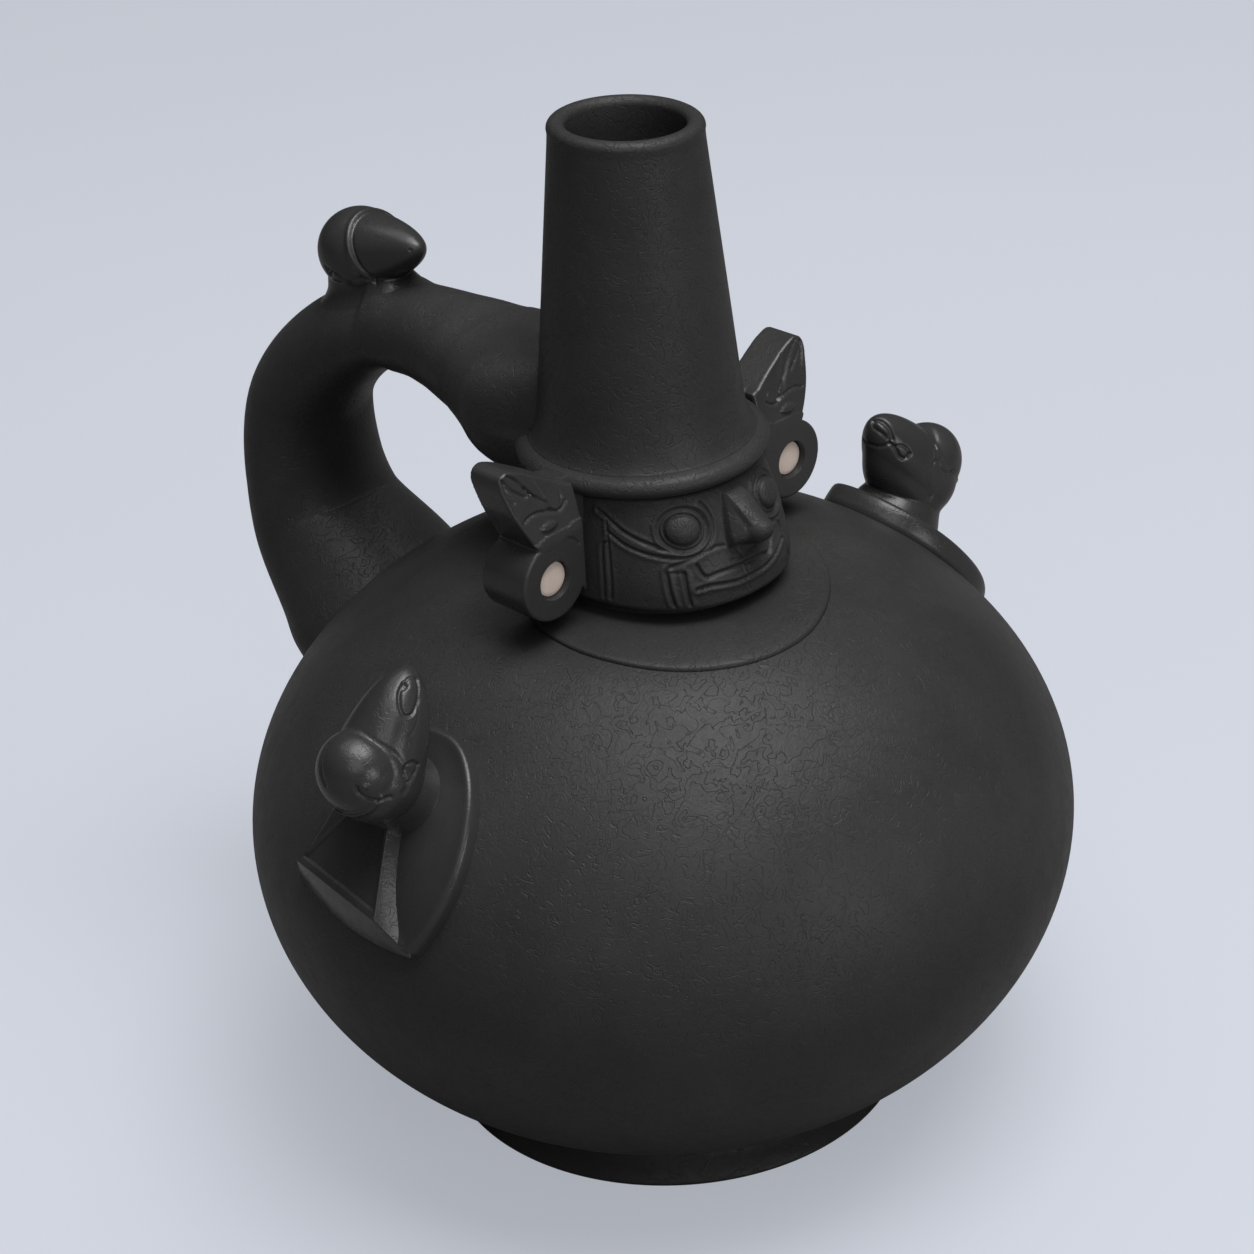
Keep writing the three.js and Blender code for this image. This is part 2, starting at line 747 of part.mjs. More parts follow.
function ballStations(radius) {
  const stations = [];
  const steps = 8;
  for (let i = 0; i <= steps; i += 1) {
    const turn = (Math.PI * i) / steps;
    stations.push([0.5 - 0.5 * Math.cos(turn), i === 0 || i === steps ? 0 : radius * Math.sin(turn)]);
  }
  return stations;
}

function ball(centre, radius, axis, stretch = 1) {
  const half = axis.clone().normalize().multiplyScalar(radius * stretch);
  const from = centre.clone().sub(half);
  const to = centre.clone().add(half);
  return turned(from, to, ballStations(radius));
}

// A cone with a rounded tip, from its root to its tip
function beak(from, to, rootRadius, tipRadius) {
  const length = from.distanceTo(to);
  const stations = [[0, 0], [0.02, rootRadius * 0.97], [0.25, rootRadius], [0.55, rootRadius * 0.72]];
  stations.push([0.8, tipRadius + (rootRadius - tipRadius) * 0.28]);
  for (const angle of [15, 45, 75]) {
    const turn = THREE.MathUtils.degToRad(angle);
    stations.push([1 - (tipRadius / length) * (1 - Math.sin(turn)), tipRadius * Math.cos(turn)]);
  }
  stations.push([1, 0]);
  return turned(from, to, stations);
}

function addBird() {
  const head = new THREE.Vector3(0, birdHeadOut, shoulderTop + birdHeadRise);
  const pitch = THREE.MathUtils.degToRad(birdBeakPitch);
  const along = new THREE.Vector3(0, -Math.cos(pitch), Math.sin(pitch));
  const beakTip = head.clone().addScaledVector(along, birdBeakLength);
  const hoodAt = (grow) => ball(head, birdHeadRadius + grow, along, 1.05);
  const beakAt = (grow) => beak(
    head.clone().addScaledVector(along, -grow),
    beakTip.clone().addScaledVector(along, grow),
    birdBeakBaseRadius + grow,
    birdBeakTipRadius + grow,
  );
  const neckRoot = head.clone();
  neckRoot.z -= 2 * birdHeadRadius;
  const neck = turned(neckRoot, head, [
    [0, 0],
    [0, birdNeckRadius + birdNeckFlare],
    [0.36, birdNeckRadius + birdNeckFlare * 0.9],
    [0.5, birdNeckRadius + birdNeckFlare * 0.35],
    [0.65, birdNeckRadius],
    [1, birdNeckRadius * 0.95],
    [1, 0],
  ]);
  const beakRoom = beakAt(lutingGap);
  const handleRoom = handleBody(lutingGap);
  addPiece('bird_neck', neck.subtract(hoodAt(lutingGap)).subtract(beakRoom).subtract(handleRoom));
  addPiece('bird_hood', hoodAt(0).subtract(beakRoom).subtract(handleRoom));
  addPiece('bird_beak', beakAt(0).subtract(handleRoom));
}

// The seat of a side figure on the globe, with its three directions: towards the face, up the
// globe, and straight out of it
function figureFrame() {
  const turn = THREE.MathUtils.degToRad(figureTurn);
  const angle = THREE.MathUtils.degToRad(figureAngle);
  const radius = globeRadius * Math.cos(angle);
  const origin = new THREE.Vector3(
    radius * Math.sin(turn),
    -radius * Math.cos(turn),
    equatorHeight + globeRise * Math.sin(angle),
  );
  const out = new THREE.Vector3(
    (Math.cos(angle) * Math.sin(turn)) / globeRadius,
    (-Math.cos(angle) * Math.cos(turn)) / globeRadius,
    Math.sin(angle) / globeRise,
  ).normalize();
  const forward = new THREE.Vector3(-Math.cos(turn), -Math.sin(turn), 0);
  const up = new THREE.Vector3().crossVectors(out, forward).normalize();
  if (up.z < 0) up.negate();
  return { origin, forward, up, out };
}

function inFigure(frame, forward, up, out) {
  return frame.origin.clone()
    .addScaledVector(frame.forward, forward)
    .addScaledVector(frame.up, up)
    .addScaledVector(frame.out, out);
}

// A prism on an outline of [forward, up] pairs, standing on the globe's tangent plane
function figurePrism(frame, outline, low, high) {
  const lowRing = outline.map(([forward, up]) => inFigure(frame, forward, up, low));
  const highRing = outline.map(([forward, up]) => inFigure(frame, forward, up, high));
  return skin([lowRing, highRing]);
}

// The shield shape of a plaque: a rounded top, a bulging front, a toe and a heel
function plaqueOutline() {
  const crown = new THREE.Vector2(plaqueToeForward * 0.17, plaqueTop);
  const toe = new THREE.Vector2(plaqueToeForward, -plaqueToeDrop);
  const heel = new THREE.Vector2(-plaqueHeelBack, -plaqueHeelDrop);
  const front = new THREE.CubicBezierCurve(
    crown,
    new THREE.Vector2(plaqueFront * 0.8, plaqueTop),
    new THREE.Vector2(plaqueFront * 1.46, -plaqueTop * 0.54),
    toe,
  );
  const foot = new THREE.QuadraticBezierCurve(
    toe,
    new THREE.Vector2((toe.x + heel.x) / 2 + plaqueFootShift, toe.y - plaqueFootSag),
    heel,
  );
  const rear = new THREE.CubicBezierCurve(
    heel,
    new THREE.Vector2(heel.x * 1.08, heel.y * 0.24),
    new THREE.Vector2(heel.x * 0.76, plaqueTop * 1.05),
    crown,
  );
  const outline = [...front.getPoints(8).slice(0, -1), ...foot.getPoints(5).slice(0, -1)];
  outline.push(...rear.getPoints(7).slice(0, -1));
  return outline.map((p) => [p.x, p.y]);
}

// The fan of a tail: a low wedge that rises from the neck and ends in a wall over the plaque's foot
function tailBody(frame) {
  const corner = (forward, up, out) => inFigure(frame, forward, up, out);
  const toe = [plaqueToeForward - tailFootInset, -plaqueToeDrop + tailFootInset];
  const heel = [-plaqueHeelBack + tailFootInset, -plaqueHeelDrop + tailFootInset * 0.5];
  const depth = -figureNeckSink;
  const apexFoot = corner(tailRootForward, -tailApexDrop, depth);
  const low = [apexFoot, corner(...heel, depth), corner(...toe, depth)];
  const high = [
    corner(0, -tailApexDrop, tailApexLift),
    corner(heel[0] + tailRimInset, heel[1] + tailRimInset * 0.2, tailRimLift),
    corner(toe[0] - tailRimInset, toe[1] + tailRimInset, tailRimLift),
  ];
  return skin([low, high]);
}

function addFigure(side, turnOver) {
  const frame = figureFrame();
  const put = (name, solid) => addPiece(`${side}_${name}`, turnOver(solid));
  const top = globeBody(lutingGap + plaqueThickness);
  const prism = figurePrism(frame, plaqueOutline(), -globeRadius / 4, globeRadius / 4);
  put('figure_plaque', prism.intersect(top).subtract(globeBody(lutingGap)));
  const seat = globeBody(2 * lutingGap + plaqueThickness);

  const ballCentre = inFigure(frame, 0, figureHeadUp, ballLift);
  const ballAt = (grow) => ball(ballCentre, ballRadius + grow, frame.out);
  const muzzleRoot = inFigure(frame, 0, figureHeadUp, muzzleLift - muzzleRootDrop);
  const muzzleTip = inFigure(frame, 0, muzzleLength, muzzleLift + muzzleTipLift);
  const muzzleAt = (grow) => {
    const along = muzzleTip.clone().sub(muzzleRoot).normalize();
    return beak(
      muzzleRoot.clone().addScaledVector(along, -grow),
      muzzleTip.clone().addScaledVector(along, grow),
      muzzleRootRadius + grow,
      muzzleTipRadius + grow,
    );
  };
  const neckFoot = inFigure(frame, 0, figureHeadUp, -figureNeckSink);
  const neckAt = (grow) => turned(neckFoot, ballCentre, [
    [0, 0],
    [0, figureNeckRadius + figureNeckFlare + grow],
    [0.34, figureNeckRadius + figureNeckFlare * 0.8 + grow],
    [0.42, figureNeckRadius + figureNeckFlare * 0.2 + grow],
    [0.52, figureNeckRadius + grow],
    [1, figureNeckRadius + grow],
    [1, 0],
  ]);
  const ballRoom = ballAt(lutingGap);
  put('figure_neck', neckAt(0).subtract(seat).subtract(ballRoom).subtract(muzzleAt(lutingGap)));
  put('figure_tail', tailBody(frame).subtract(seat).subtract(neckAt(lutingGap)).subtract(ballRoom));
  put('figure_ball', ballAt(0));
  put('figure_muzzle', muzzleAt(0).subtract(ballRoom));
}

addPiece('foot_ring', footRing());
addPiece('lower_bowl', lowerBowl());
addPiece('upper_bowl', upperBowl());
addPiece('shoulder_collar', shoulderCollar());
addPiece('face_drum', faceDrum());
addPiece('brow_ring', browRing(0));
addPiece('spout', spoutPiece());
addPiece('handle', handlePiece());
addBird();
const ear = earPiece();
const inlay = inlayPiece();
const eye = eyePiece();
addPiece('right_ear', ear);
addPiece('left_ear', mirrored(ear));
addPiece('right_ear_inlay', inlay, shell());
addPiece('left_ear_inlay', mirrored(inlay), shell());
addPiece('right_eye', eye);
addPiece('left_eye', mirrored(eye));
addPiece('nose', nosePiece());
addFigure('right', (solid) => solid);
addFigure('left', mirrored);

// The origin is the middle of the bounding box's underside
const box = new THREE.Box3().setFromObject(bottle);
bottle.position.set(-(box.min.x + box.max.x) / 2, -(box.min.y + box.max.y) / 2, -box.min.z);
bottle.updateMatrixWorld(true);

export default bottle;
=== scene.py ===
# Blackware bottle with a carved face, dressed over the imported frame. Everything is made in metres
# in the frame's own axes: +Z up, the face towards -Y, the handle at +Y.
import math
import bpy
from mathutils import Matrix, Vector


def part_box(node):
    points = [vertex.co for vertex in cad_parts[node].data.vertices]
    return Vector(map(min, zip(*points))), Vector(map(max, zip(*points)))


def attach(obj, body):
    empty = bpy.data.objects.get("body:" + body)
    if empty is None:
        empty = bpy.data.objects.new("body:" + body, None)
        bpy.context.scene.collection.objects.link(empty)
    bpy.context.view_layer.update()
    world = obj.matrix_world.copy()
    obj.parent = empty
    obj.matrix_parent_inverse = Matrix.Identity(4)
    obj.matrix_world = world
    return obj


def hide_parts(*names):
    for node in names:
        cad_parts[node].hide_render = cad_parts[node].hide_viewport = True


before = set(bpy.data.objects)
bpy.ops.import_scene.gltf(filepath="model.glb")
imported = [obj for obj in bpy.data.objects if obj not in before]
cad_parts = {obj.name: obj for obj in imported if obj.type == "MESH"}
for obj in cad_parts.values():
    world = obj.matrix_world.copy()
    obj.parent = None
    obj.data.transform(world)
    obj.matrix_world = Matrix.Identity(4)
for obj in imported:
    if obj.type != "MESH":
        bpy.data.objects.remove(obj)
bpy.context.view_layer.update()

from types import SimpleNamespace

import bpy
import numpy as np
from bpy.props import FloatProperty, FloatVectorProperty, PointerProperty
from mathutils import Vector

bl_info = {
    "name": "Blackware bottle",
    "version": (1, 0, 0),
    "blender": (4, 5, 0),
    "location": "3D View > Sidebar > Bottle",
    "description": "Models a burnished black bottle with a carved face, piece by piece",
    "category": "Add Mesh",
}

MM = 0.001
SPOUT_LOW, SPOUT_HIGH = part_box("spout")
DRUM_LOW, DRUM_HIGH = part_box("face_drum")
GLOBE_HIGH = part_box("upper_bowl")[1]
AXIS_Y = (SPOUT_LOW.y + SPOUT_HIGH.y) / 2
# Heights of the drum's foot and top and of the spout's top, in millimetres
DRUM_FOOT, DRUM_TOP, SPOUT_TOP = DRUM_LOW.z / MM, DRUM_HIGH.z / MM, SPOUT_HIGH.z / MM
# The photograph's camera: place in metres, turn in degrees, lens and sensor in millimetres
CAMERA_PLACE = (-0.350901, -0.371748, 0.371560)
CAMERA_TURN = (61.253264, 2.946104, -45.614930)
CAMERA_LENS, CAMERA_SENSOR = 86.1244, 36


def length(name, description, default):
    return FloatProperty(
        name=name, description=description, default=default, min=0.0001, max=1.0,
        subtype="DISTANCE", unit="LENGTH", precision=5,
    )


def colour(name, description, default):
    return FloatVectorProperty(
        name=name, description=description, default=default, size=3, min=0, max=1, subtype="COLOR",
    )


def share(name, description, default):
    return FloatProperty(
        name=name, description=description, default=default, min=0, max=1, subtype="FACTOR",
    )


class BottleSizes(bpy.types.PropertyGroup):
    """Sizes of the bottle's forms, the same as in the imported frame"""

    globe_radius: length("Globe radius", "Half the width of the globe", GLOBE_HIGH.x)
    globe_rise: length("Globe rise", "Half-height of the upper half's ellipse", 0.059)
    globe_drop: length("Globe drop", "Half-height of the lower half's ellipse", 0.0605)
    equator_height: length("Equator height", "Height of the widest place", 0.05875)
    floor_height: length("Floor height", "Height of the globe's underside", 0.003)
    wall: length("Wall", "Thickness of the globe's wall", 0.004)
    shoulder_height: length("Shoulder height", "Height of the flat shoulder", GLOBE_HIGH.z)
    bend_radius: length("Bend radius", "Radius where the shoulder starts to flatten", 0.046)
    flat_radius: length("Flat radius", "Radius of the flat part of the shoulder", 0.026)
    throat_radius: length("Throat radius", "Radius of the passage through the drum", 0.0125)
    foot_radius: length("Foot radius", "Radius that the bottle stands on", 0.0466)
    foot_waist: length("Foot waist", "Narrowest radius of the foot ring", 0.0426)
    foot_height: length("Foot height", "Height of the foot's waist", 0.0062)
    foot_inner: length("Foot inside", "Inner radius of the foot ring", 0.036)
    collar_radius: length("Collar radius", "Radius of the disc on the shoulder", 0.0285)
    collar_forward: length("Collar forward", "How far the disc lies towards the face", 0.013)
    collar_thickness: length("Collar thickness", "Height of the disc's step", 0.0008)
    drum_height: length("Drum height", "Height of the drum with the face", DRUM_HIGH.z - DRUM_LOW.z)
    drum_half_width: length("Drum half-width", "Half the drum's width", DRUM_HIGH.x)
    drum_front: length("Drum front", "Reach of the face from the axis", AXIS_Y - DRUM_LOW.y)
    drum_top_half_width: length("Drum top half-width", "Half-width at the drum's top", 0.0208)
    drum_top_front: length("Drum top front", "Reach of the drum's top", 0.0216)
    drum_neck_half_width: length("Drum neck half-width", "Half-width of the undercut", 0.0195)
    drum_neck_front: length("Drum neck front", "Reach of the undercut", 0.023)
    drum_neck_height: length("Drum neck height", "Height of the undercut", 0.003)
    spout_radius: length("Spout radius", "Radius of the spout above its ring", 0.0199)
    spout_top_radius: length("Spout top radius", "Radius under the lip", 0.0136)
    spout_bore: length("Spout bore", "Radius of the bore at its foot", 0.0145)
    lip_radius: length("Lip radius", "Outer radius of the lip", 0.014)
    lip_bore: length("Lip bore", "Radius of the mouth", 0.01066)
    ring_width: length("Ring width", "How far the brow ring stands out", 0.0034)
    ring_height: length("Ring height", "Height of the brow ring", 0.0042)
    handle_reach: length("Handle reach", "How far the handle's middle passes the globe", 0.0182)
    handle_crest: length("Handle crest", "Height of the handle's middle line", 0.14265)
    handle_crest_out: length("Handle crest distance", "Distance of the crest from the axis", 0.058)
    bird_radius: length("Bird's head radius", "Radius of the bird's hood", 0.0084)
    bird_out: length("Bird distance", "Distance of the bird from the spout's axis", 0.0759)
    bird_height: length("Bird height", "Height of the middle of the bird's head", 0.15605)
    beak_length: length("Beak length", "From the middle of the head to the tip", 0.019)
    ear_disc_radius: length("Ear disc radius", "Radius of the round part of an ear", 0.0078)
    ear_thickness: length("Ear thickness", "Thickness of the ear's round part", 0.011)
    ear_front: length("Ear front", "Reach of the ear's face from the axis", 0.0082)
    inlay_radius: length("Inlay radius", "Radius of a pale disc", 0.00305)
    ball_radius: length("Figure ball radius", "Radius of the round head", 0.0076)
    muzzle_length: length("Muzzle length", "Length of a side figure's muzzle", 0.0223)
    plaque_thickness: length("Plaque thickness", "Thickness of a side plaque", 0.003)


class BottleLooks(bpy.types.PropertyGroup):
    """Colours and surfaces of the bottle and its stage"""

    clay: colour("Clay", "Colour of the black clay", (0.0262, 0.026, 0.0258))
    clay_light: colour("Worn clay", "Colour where the polish is thinner", (0.0365, 0.036, 0.0357))
    roughness: share("Roughness", "Roughness of the burnished clay", 0.42)
    fine_roughness: share("Roughness of small forms", "Roughness of the glossier forms", 0.25)
    inlay: colour("Inlay", "Colour of the pale discs", (0.68, 0.57, 0.5))
    floor: colour("Floor", "Colour of the floor", (0.6, 0.63, 0.7))


def millimetres(group):
    """The sizes as plain numbers in millimetres"""
    keys = BottleSizes.__annotations__
    return SimpleNamespace(**{key: getattr(group, key) / MM for key in keys})


def to_frame(points):
    """Millimetres from the spout's axis to metres in the frame"""
    return np.asarray(points, dtype=float) * MM + np.array([0.0, AXIS_Y, 0.0])


def from_frame(points):
    """Metres in the frame to millimetres from the spout's axis"""
    return (np.asarray(points, dtype=float) - np.array([0.0, AXIS_Y, 0.0])) / MM


def deselect():
    """Leaves edit mode and clears the selection"""
    if bpy.context.object is not None and bpy.context.object.mode != "OBJECT":
        bpy.ops.object.mode_set(mode="OBJECT")
    bpy.ops.object.select_all(action="DESELECT")


def activate(piece):
    """Makes a piece the only selected and the active one"""
    deselect()
    piece.select_set(True)
    bpy.context.view_layer.objects.active = piece


def of_vertices(piece, what):
    """Three numbers of each vertex"""
    flat = np.empty(len(piece.data.vertices) * 3)
    piece.data.vertices.foreach_get(what, flat)
    return flat.reshape(-1, 3)


def coordinates(piece):
    """The piece's vertices, in metres"""
    return of_vertices(piece, "co")


def normals(piece):
    """The way out of the piece at each vertex"""
    return of_vertices(piece, "normal")


def set_coordinates(piece, points):
    """Moves the piece's vertices to points in metres"""
    piece.data.vertices.foreach_set("co", np.ascontiguousarray(points, dtype=float).ravel())
    piece.data.update()


def edit(kind=None, action=None):
    """Enters edit mode, with a kind of selection and with all or nothing selected"""
    bpy.ops.object.mode_set(mode="EDIT")
    if kind is not None:
        bpy.ops.mesh.select_mode(type=kind)
    if action is not None:
        bpy.ops.mesh.select_all(action=action)


def leave_edit():
    bpy.ops.object.mode_set(mode="OBJECT")


def select_nothing(kind):
    """Clears a mesh's selection, so that its edges or faces can be chosen one by one"""
    edit(kind, "DESELECT")
    leave_edit()


def turn_normals_out():
    edit(action="SELECT")
    bpy.ops.mesh.normals_make_consistent(inside=False)
    leave_edit()


# Points closer than this are one point, in metres
SAME_POINT = 0.000002
# Segments round the shaped bodies
COLLAR_SEGMENTS, HANDLE_SEGMENTS, PLAQUE_SEGMENTS = 192, 120, 240
NECK_SEGMENTS, ROUND_SEGMENTS, DISC_SEGMENTS = 96, 64, 96


def close_up(piece, angle=None):
    """Merges doubled points, turns the normals out and shades the piece"""
    activate(piece)
    edit(action="SELECT")
    bpy.ops.mesh.remove_doubles(threshold=SAME_POINT)
    bpy.ops.mesh.normals_make_consistent(inside=False)
    leave_edit()
    if angle is None:
        bpy.ops.object.shade_smooth()
    else:
        bpy.ops.object.shade_smooth_by_angle(angle=math.radians(angle))
    return piece


def lathe(name, profile, closed, steps, angle=35):
    """Spins a profile of radius and height in millimetres about the spout's axis"""
    deselect()
    bpy.ops.mesh.primitive_circle_add(vertices=len(profile), radius=0.01)
    piece = bpy.context.object
    piece.name = name
    set_coordinates(piece, to_frame([(radius, 0, height) for radius, height in profile]))
    select_nothing("EDGE")
    if not closed:
        last = len(profile) - 1
        for edge in piece.data.edges:
            edge.select = set(edge.vertices) == {0, last}
        edit()
        bpy.ops.mesh.delete(type="EDGE")
        leave_edit()
    edit("VERT", "SELECT")
    bpy.ops.mesh.spin(
        steps=steps, dupli=False, angle=2 * math.pi, center=(0, AXIS_Y, 0), axis=(0, 0, 1),
    )
    leave_edit()
    return close_up(piece, angle)


def shaped_ball(name, segments, rings, place):
    """A sphere whose rings are moved to where place(ring, turn) says, in millimetres"""
    deselect()
    bpy.ops.mesh.primitive_uv_sphere_add(segments=segments, ring_count=rings, radius=1)
    piece = bpy.context.object
    piece.name = name
    start = coordinates(piece)
    ring = np.round((1 - np.arccos(np.clip(start[:, 2], -1, 1)) / math.pi) * rings).astype(int)
    turn = np.arctan2(start[:, 1], start[:, 0])
    set_coordinates(piece, to_frame(place(ring, turn)))
    return close_up(piece)


def wrapped_sheet(name, grid):
    """A grid whose two pairs of opposite edges meet, so that it closes like a ring"""
    columns, rows = grid.shape[:2]
    deselect()
    bpy.ops.mesh.primitive_grid_add(x_subdivisions=columns, y_subdivisions=rows, size=2)
    piece = bpy.context.object
    piece.name = name
    start = coordinates(piece)
    column = np.round((start[:, 0] + 1) / 2 * columns).astype(int) % columns
    row = np.round((start[:, 1] + 1) / 2 * rows).astype(int) % rows
    set_coordinates(piece, to_frame(grid[column, row]))
    return close_up(piece)


def fused(name, parts, voxel, smoothing):
    """Joins parts into one skin by a voxel remesh, and smooths it"""
    deselect()
    for part in parts:
        part.select_set(True)
    bpy.context.view_layer.objects.active = parts[0]
    bpy.ops.object.join()
    piece = bpy.context.object
    piece.name = name
    remesh = piece.modifiers.new("Skin", "REMESH")
    remesh.mode = "VOXEL"
    remesh.voxel_size = voxel * MM
    remesh.adaptivity = 0
    bpy.ops.object.modifier_apply(modifier=remesh.name)
    edit(action="SELECT")
    bpy.ops.mesh.vertices_smooth(factor=0.5, repeat=smoothing)
    leave_edit()
    bpy.ops.object.shade_smooth()
    return piece


def mirror_copy(piece, name):
    """A copy on the other side of X = 0, with its own mesh"""
    activate(piece)
    bpy.ops.object.duplicate(linked=False)
    other = bpy.context.object
    other.name = name
    points = coordinates(other)
    points[:, 0] *= -1
    set_coordinates(other, points)
    turn_normals_out()
    return other


def dress(piece, material, slot, *nodes):
    """Gives a piece its material, its body and the nodes that it replaces; the slot is not used"""
    piece.data.materials.clear()
    piece.data.materials.append(material)
    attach(piece, "root")
    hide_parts(*nodes)


def line_distance(points, line):
    """Distance of each point from a line of straight stretches"""
    points = np.asarray(points, dtype=float)
    line = np.asarray(line, dtype=float)
    best = np.full(len(points), 1e9)
    for start, end in zip(line[:-1], line[1:]):
        along = end - start
        span = max(float(along @ along), 1e-12)
        where = np.clip((points - start) @ along / span, 0, 1)
        gap = points - start - where[:, None] * along
        best = np.minimum(best, np.sqrt((gap ** 2).sum(axis=1)))
    return best


def rounded_line(line, pieces=6):
    """The same line with its corners eased"""
    return spline(np.asarray(line, dtype=float), np.linspace(0, 1, pieces * (len(line) - 1) + 1))


def spline(knots, shares):
    """A centripetal curve through the knots, as the part's source uses"""
    knots = np.asarray(knots, dtype=float)
    count = len(knots)
    made = []
    for at in np.atleast_1d(shares):
        place = min(max(at, 0.0), 1.0) * (count - 1)
        i = min(int(place), count - 2)
        weight = place - i
        before = knots[i - 1] if i > 0 else 2 * knots[0] - knots[1]
        after = knots[i + 2] if i + 2 < count else 2 * knots[-1] - knots[-2]
        p, q = knots[i], knots[i + 1]
        step = [
            max(float(np.linalg.norm(b - a)), 1e-9) ** 0.5
            for a, b in ((before, p), (p, q), (q, after))
        ]
        leave = (p - before) / step[0] - (q - before) / (step[0] + step[1]) + (q - p) / step[1]
        reach = (q - p) / step[1] - (after - p) / (step[1] + step[2]) + (after - q) / step[2]
        leave, reach = leave * step[1], reach * step[1]
        bend = -3 * p + 3 * q - 2 * leave - reach
        swing = 2 * p - 2 * q + leave + reach
        made.append(p + leave * weight + bend * weight ** 2 + swing * weight ** 3)
    return np.array(made)


# How far a mark may lie off the surface that it is laid on, in millimetres
MARK_OFF = 6
# How many widths away from a mark its groove still counts
MARK_REACH = 3


def laid_on(piece, line, to_local, from_local):
    """Moves the points of a line onto the piece, along the line of sight from the camera"""
    eye = Vector(CAMERA_PLACE)
    laid = []
    for spot in from_local(np.asarray(line, dtype=float)):
        aim = Vector(to_frame([spot])[0])
        hit, where, _, _ = piece.ray_cast(eye, (aim - eye).normalized())
        found = hit and (where - aim).length < MARK_OFF * MM
        laid.append(from_frame([where])[0] if found else spot)
    return to_local(np.array(laid))


def carved(piece, marks, to_local, from_local):
    """Sinks lines into a piece along its normals: each mark is a line, a depth and a width"""
    points = from_frame(coordinates(piece))
    local = to_local(points)
    sunk = np.zeros(len(points))
    for line, depth, width in marks:
        line = laid_on(piece, line, to_local, from_local)
        low, high = line.min(axis=0) - MARK_REACH * width, line.max(axis=0) + MARK_REACH * width
        near = np.flatnonzero(np.all((local > low) & (local < high), axis=1))
        if len(near):
            path = rounded_line(line, 5) if len(line) > 1 else np.vstack([line, line])
            sunk[near] += depth * bell(line_distance(local[near], path), 0, width)
    set_coordinates(piece, to_frame(points - normals(piece) * sunk[:, None]))


def smooth_step(value, low, high):
    """Rises from 0 at low to 1 at high, without a corner"""
    x = np.clip((value - low) / (high - low), 0, 1)
    return x * x * (3 - 2 * x)


def bell(value, middle, width):
    """A bump of height 1 round a middle value"""
    return np.exp(-((value - middle) / width) ** 2)


def bezier(knots, steps):
    """A curve between two ends, led by the two points between them"""
    t = np.linspace(0, 1, steps + 1)[:, None]
    a, b, c, d = (np.asarray(k, dtype=float) for k in knots)
    return a * (1 - t) ** 3 + 3 * b * t * (1 - t) ** 2 + 3 * c * t ** 2 * (1 - t) + d * t ** 3


# How far the shoulder's curve is led, as a share of what fits, and how much further over the top
BEND_LEAD, BEND_TOP = 0.9, 1.6


def upper_outline(s, grow, steps=36, bend_steps=20):
    """The globe above its equator, grown by a distance, up to the flat shoulder"""
    bend_angle = math.acos(s.bend_radius / s.globe_radius)
    angles = np.linspace(0, bend_angle, steps + 1)
    arc = np.stack([
        (s.globe_radius + grow) * np.cos(angles),
        s.equator_height + (s.globe_rise + grow) * np.sin(angles),
    ], axis=1)
    radius, height = arc[-1]
    fall = (s.globe_rise * math.cos(bend_angle)) / (s.globe_radius * math.sin(bend_angle))
    top = s.shoulder_height + grow
    lead = min((top - height) / fall, (radius - s.flat_radius) / 2) * BEND_LEAD
    bend = bezier([
        (radius, height), (radius - lead, height + lead * fall),
        (radius - BEND_TOP * lead, top), (s.flat_radius, top),
    ], bend_steps)
    return np.vstack([arc, bend[1:]])


def lower_outline(s, grow, steps=44):
    """The globe under its equator, grown by a distance, from the floor up"""
    floor = s.floor_height - grow
    start = math.asin((s.equator_height - floor) / (s.globe_drop + grow))
    angles = start * np.linspace(1, 0, steps + 1)
    return np.stack([
        (s.globe_radius + grow) * np.cos(angles),
        s.equator_height - (s.globe_drop + grow) * np.sin(angles),
    ], axis=1)


def shoulder_at(s, radius):
    """Height of the globe's top at a radius"""
    outline = upper_outline(s, 0, 60, 40)[::-1]
    return np.interp(radius, outline[:, 0], outline[:, 1])


def globe_profile(s):
    """The outline of the hollow globe, up its outside and back down its inside"""
    inside_up = upper_outline(s, -s.wall, 20, 10)[::-1]
    inside_down = lower_outline(s, -s.wall, 24)[::-1]
    profile = [(0, s.floor_height)]
    profile += list(lower_outline(s, 0)) + list(upper_outline(s, 0)[1:])
    profile += [(s.throat_radius, s.shoulder_height - down) for down in (0, s.wall)]
    profile += list(inside_up) + list(inside_down[1:]) + [(0, s.floor_height + s.wall)]
    return profile


# Radius of the foot's rounded outer edge, and the bevel of its inner edge
FOOT_EDGE, FOOT_BEVEL = 1, 0.3
# How deep the foot ring reaches into the globe's underside
FOOT_OVERLAP = 0.6


def foot_profile(s):
    """The outline of the ring foot, under the curve of the globe"""
    flare = bezier([
        (s.foot_radius, 1.0), (s.foot_radius - 1.2, 3.0),
        (s.foot_waist + 0.4, s.foot_height - 2), (s.foot_waist, s.foot_height),
    ], 14)
    edge = s.foot_radius - FOOT_EDGE
    profile = [(s.foot_inner, FOOT_BEVEL), (s.foot_inner + FOOT_BEVEL, 0), (edge, 0)]
    for angle in np.radians([-72, -54, -36, -18]):
        profile.append((edge + math.cos(angle), FOOT_EDGE + math.sin(angle)))
    profile += list(flare)
    for radius in np.linspace(s.foot_waist, s.foot_inner, 8):
        ratio = radius / s.globe_radius
        underside = s.equator_height - s.globe_drop * math.sqrt(1 - ratio ** 2)
        profile.append((radius, underside + FOOT_OVERLAP))
    return profile


# The gap between the drum and the ring in the frame, which the spout closes
RING_GAP = 0.3
# How far the spout reaches into the drum
SPOUT_OVERLAP = 0.2
